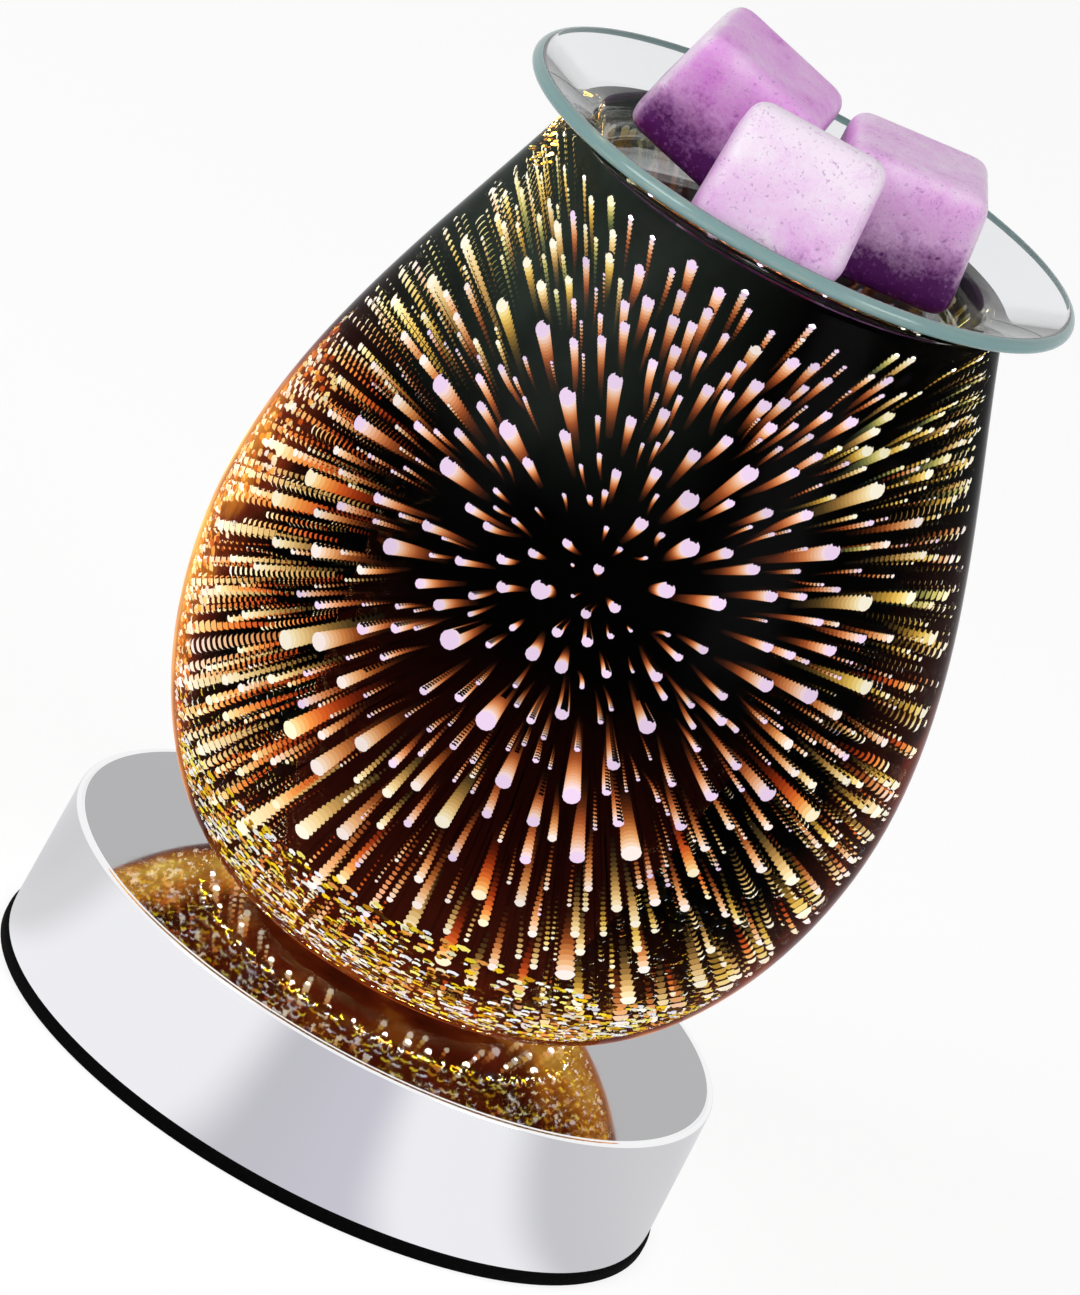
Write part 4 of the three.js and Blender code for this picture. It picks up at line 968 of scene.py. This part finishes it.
def leanAt(at, way):  # how far a row is off square to the glass, as the sine of the angle
    i = min(int(np.searchsorted(glassSide[:, 1], at[2])), len(glassSide) - 1)
    along = unit(glassSide[i] - glassSide[i - 1])
    inward = np.array([-along[1], along[0]])
    outer = np.hypot(at[0], at[1])
    slope = np.array([(at[0] * way[0] + at[1] * way[1]) / outer, way[2]])
    return sqrt(max(0, 1 - float(inward @ slope) ** 2))


def atNeck(height, values):  # a value that changes from the first to the second on the way up to the neck
    return np.interp(height, dots["neck"], values)


def faceOut(at, way):  # the way a row's dots face: back along the row, but almost level near the neck
    rise = -way[2]
    if at[2] > dots["flatAbove"]:
        rise = min(rise, sin(radians(atNeck(at[2], dots["levelBy"]))))
    level = unit(np.array([at[0], at[1], 0])) * sqrt(1 - rise * rise)
    return level + np.array([0, 0, rise])


def beadRow(outside, way, grown, length, depth, tones, bend, change):  # ever smaller and darker beads
    facing = faceOut(outside, way)
    side = unit(np.cross(way, [0, 0, 1]))
    other = np.cross(facing, side)
    flatness = dots["flatness"][0 if outside[2] > dots["flatAbove"] else 1]
    run = np.arange(0, min(length, depth), dots["pitch"])
    share = run / length
    step = share ** dots["fade"] * (len(tones) - 1) * (1 - dots["slowFade"] * change["glowing"])
    colours = np.stack([np.interp(step, range(len(tones)), tones[:, k]) for k in range(3)], axis=1)
    radius = grown * (1 - dots["taper"] * share)
    thick = np.minimum(radius * flatness, dots["thick"]) * (1 + change["fuller"])
    frames = np.stack([side * radius[:, None], other * radius[:, None], facing * thick[:, None]], axis=1)
    swing = (side * bend[0] + other * bend[1]) * (share ** 2)[:, None]
    tilt = sqrt(max(0, 1 - float(facing @ way) ** 2))
    start = globe["wall"] + dots["under"] + thick[0] + grown * (leanAt(outside, way) + tilt)
    if way[2] > 0:  # low rows start above the glass floor
        start = max(start, (glassSide[0][1] + globe["floor"] + dots["under"] + grown - outside[2]) / way[2])
    return outside + way * (start + run[:, None]) + swing, frames, colours


def repeatShape(shape, places, frames):  # one shape set in each frame at each place
    form, faces = shape
    points = (places[:, None, :] + np.einsum("vk,nkj->nvj", form, frames)).reshape(-1, 3)
    return points, (faces[None] + (np.arange(len(places)) * len(form))[:, None, None]).reshape(-1, 3)


def beadPiece(name, shape, places, frames, colours, stems=None, *replaced):
    bead, faces = shape
    points, corners = repeatShape(shape, places, frames)
    corner = points[corners]
    normal = np.cross(corner[:, 1] - corner[:, 0], corner[:, 2] - corner[:, 0])
    steep = atNeck(corner[:, :, 2].mean(axis=1), dots["skyward"])
    skyward = normal[:, 2] > steep * np.linalg.norm(normal, axis=1)
    lit = np.tile(bead[faces][:, :, 2].mean(axis=1) > 0, len(places)) & ~skyward
    bright = np.repeat(colours, len(faces), axis=0) * np.where(lit, 1.0, dots["unlit"])[:, None]
    bright = np.repeat(bright[:, None, :], 3, axis=1)
    cells = ceil(sqrt(len(places) + 1))
    number = np.repeat(np.arange(len(places)), len(faces))
    cell = np.stack([number % cells, number // cells], axis=1)[:, None, :]
    flat = np.tile(bead[faces][:, :, :2], (len(places), 1, 1))
    litCell, darkCell = (cell + middle + flat * reach
                         for middle, reach in (beadForm["litCell"], beadForm["darkCell"]))
    spread = np.where(lit[:, None, None], litCell, darkCell)
    if stems:  # the stems are black and share the last cell
        rods, rodCorners = repeatShape(modelStem(), *stems)
        corners = np.vstack([corners, rodCorners + len(points)])
        points = np.vstack([points, rods])
        bright = np.concatenate([bright, np.zeros((len(rodCorners), 3, 3))])
        stemCell = np.array(beadForm["stemCell"]) + cells - 1
        spread = np.concatenate([spread, np.tile(stemCell, (len(rodCorners), 1, 1))])
    mesh = bpy.data.meshes.new(name)
    mesh.from_pydata((points * mm).tolist(), [], corners.tolist())
    glow = np.concatenate([bright.reshape(-1, 3), np.ones((len(corners) * 3, 1))], axis=1)
    stored = mesh.attributes.new("glow", "FLOAT_COLOR", "CORNER")
    stored.data.foreach_set("color", glow.astype(np.float32).ravel())
    mesh.uv_layers.new(name="OFBake").data.foreach_set("uv", (spread / cells).astype(np.float32).ravel())
    piece = bpy.data.objects.new(name, mesh)
    bpy.context.scene.collection.objects.link(piece)
    dress(piece, "lamp", "light_points", *replaced)
    print(name, len(places), "dots,", len(corners), "faces")


def makeRows():
    draw = np.random.default_rng(dots["seed"])
    tones = {name: np.array([linear(code)[:3] for code in codes]) for name, codes in dots["tones"].items()}
    spread = spreadRows()
    for kind in dots["kinds"]:
        rows, roots, rods = [], [], []
        for outside, grown in spread[kind["name"]]:
            way = unit(burstCentre - outside)
            depth = depthToLiner(outside, way)
            aside = np.clip((offMiddle(outside) - dots["asideFrom"]) / dots["asideOver"], 0, 1)
            if draw.uniform() < aside * kind["thin"]:
                continue
            most = dots["left" if outside[0] < 0 else "right"]
            change = {name: aside * value for name, value in most.items()}
            length = kind["row"] * draw.uniform(*dots["lengths"]) * (1 - change["shorter"])
            grown = grown * (1 - change["smaller"])
            shade = tones[toneAt(outside, draw)] * draw.uniform(*dots["brightness"])
            shade = shade * (1 + dots["glowGain"] * change["glowing"]) * kind["dim"]
            bend = draw.normal(0, dots["bend"], 2)
            rows.append(beadRow(outside, way, grown, length, depth, shade, bend, change))
            side = unit(np.cross(way, [0, 0, 1])) * dots["stemRadius"]
            start = dots["stemStart"] * grown
            roots.append(outside + way * (globe["wall"] + start))
            rods.append(np.stack([side, np.cross(way, side), -way * (depth + dots["stemRoot"] - start)]))
        beadPiece(kind["name"], modelBead(kind["sides"]), *(np.concatenate(part) for part in zip(*rows)),
                  (np.array(roots), np.array(rods)), "light_rows")


def makeFlecks(own):
    draw = np.random.default_rng(own["seed"])
    foot = size("glass_globe")[1]
    side, sums = glassBetween(globe["wall"] + flecks["under"], foot + own["from"], foot + own["to"])
    colours = np.array([linear(code)[:3] for code in own["colours"]])
    places, frames, shades = [], [], []
    for _ in range(own["count"]):
        turn = radians(draw.uniform(*own["turn"]))
        at = spotOn(side, sums, draw.uniform() ** own["crowd"], turn)
        around = unit(np.array([-at[1], at[0], 0]))
        up = unit(np.cross(around, unit(at - burstCentre)))
        outward = unit(np.cross(up, around))
        radius = draw.uniform(own["small"], own["large"])
        thick = radius * own["flat"]
        places.append(at - outward * thick)
        frames.append(np.stack([around * radius * draw.uniform(1, flecks["stretch"]), up * radius,
                                outward * thick]))
        shades.append(colours[draw.integers(len(colours))] * draw.uniform(*flecks["brightness"]))
    beadPiece(own["name"], modelBead(flecks["sides"]), np.array(places), np.array(frames), np.array(shades))


makeRows()
for band in flecks["bands"]:
    makeFlecks(band)
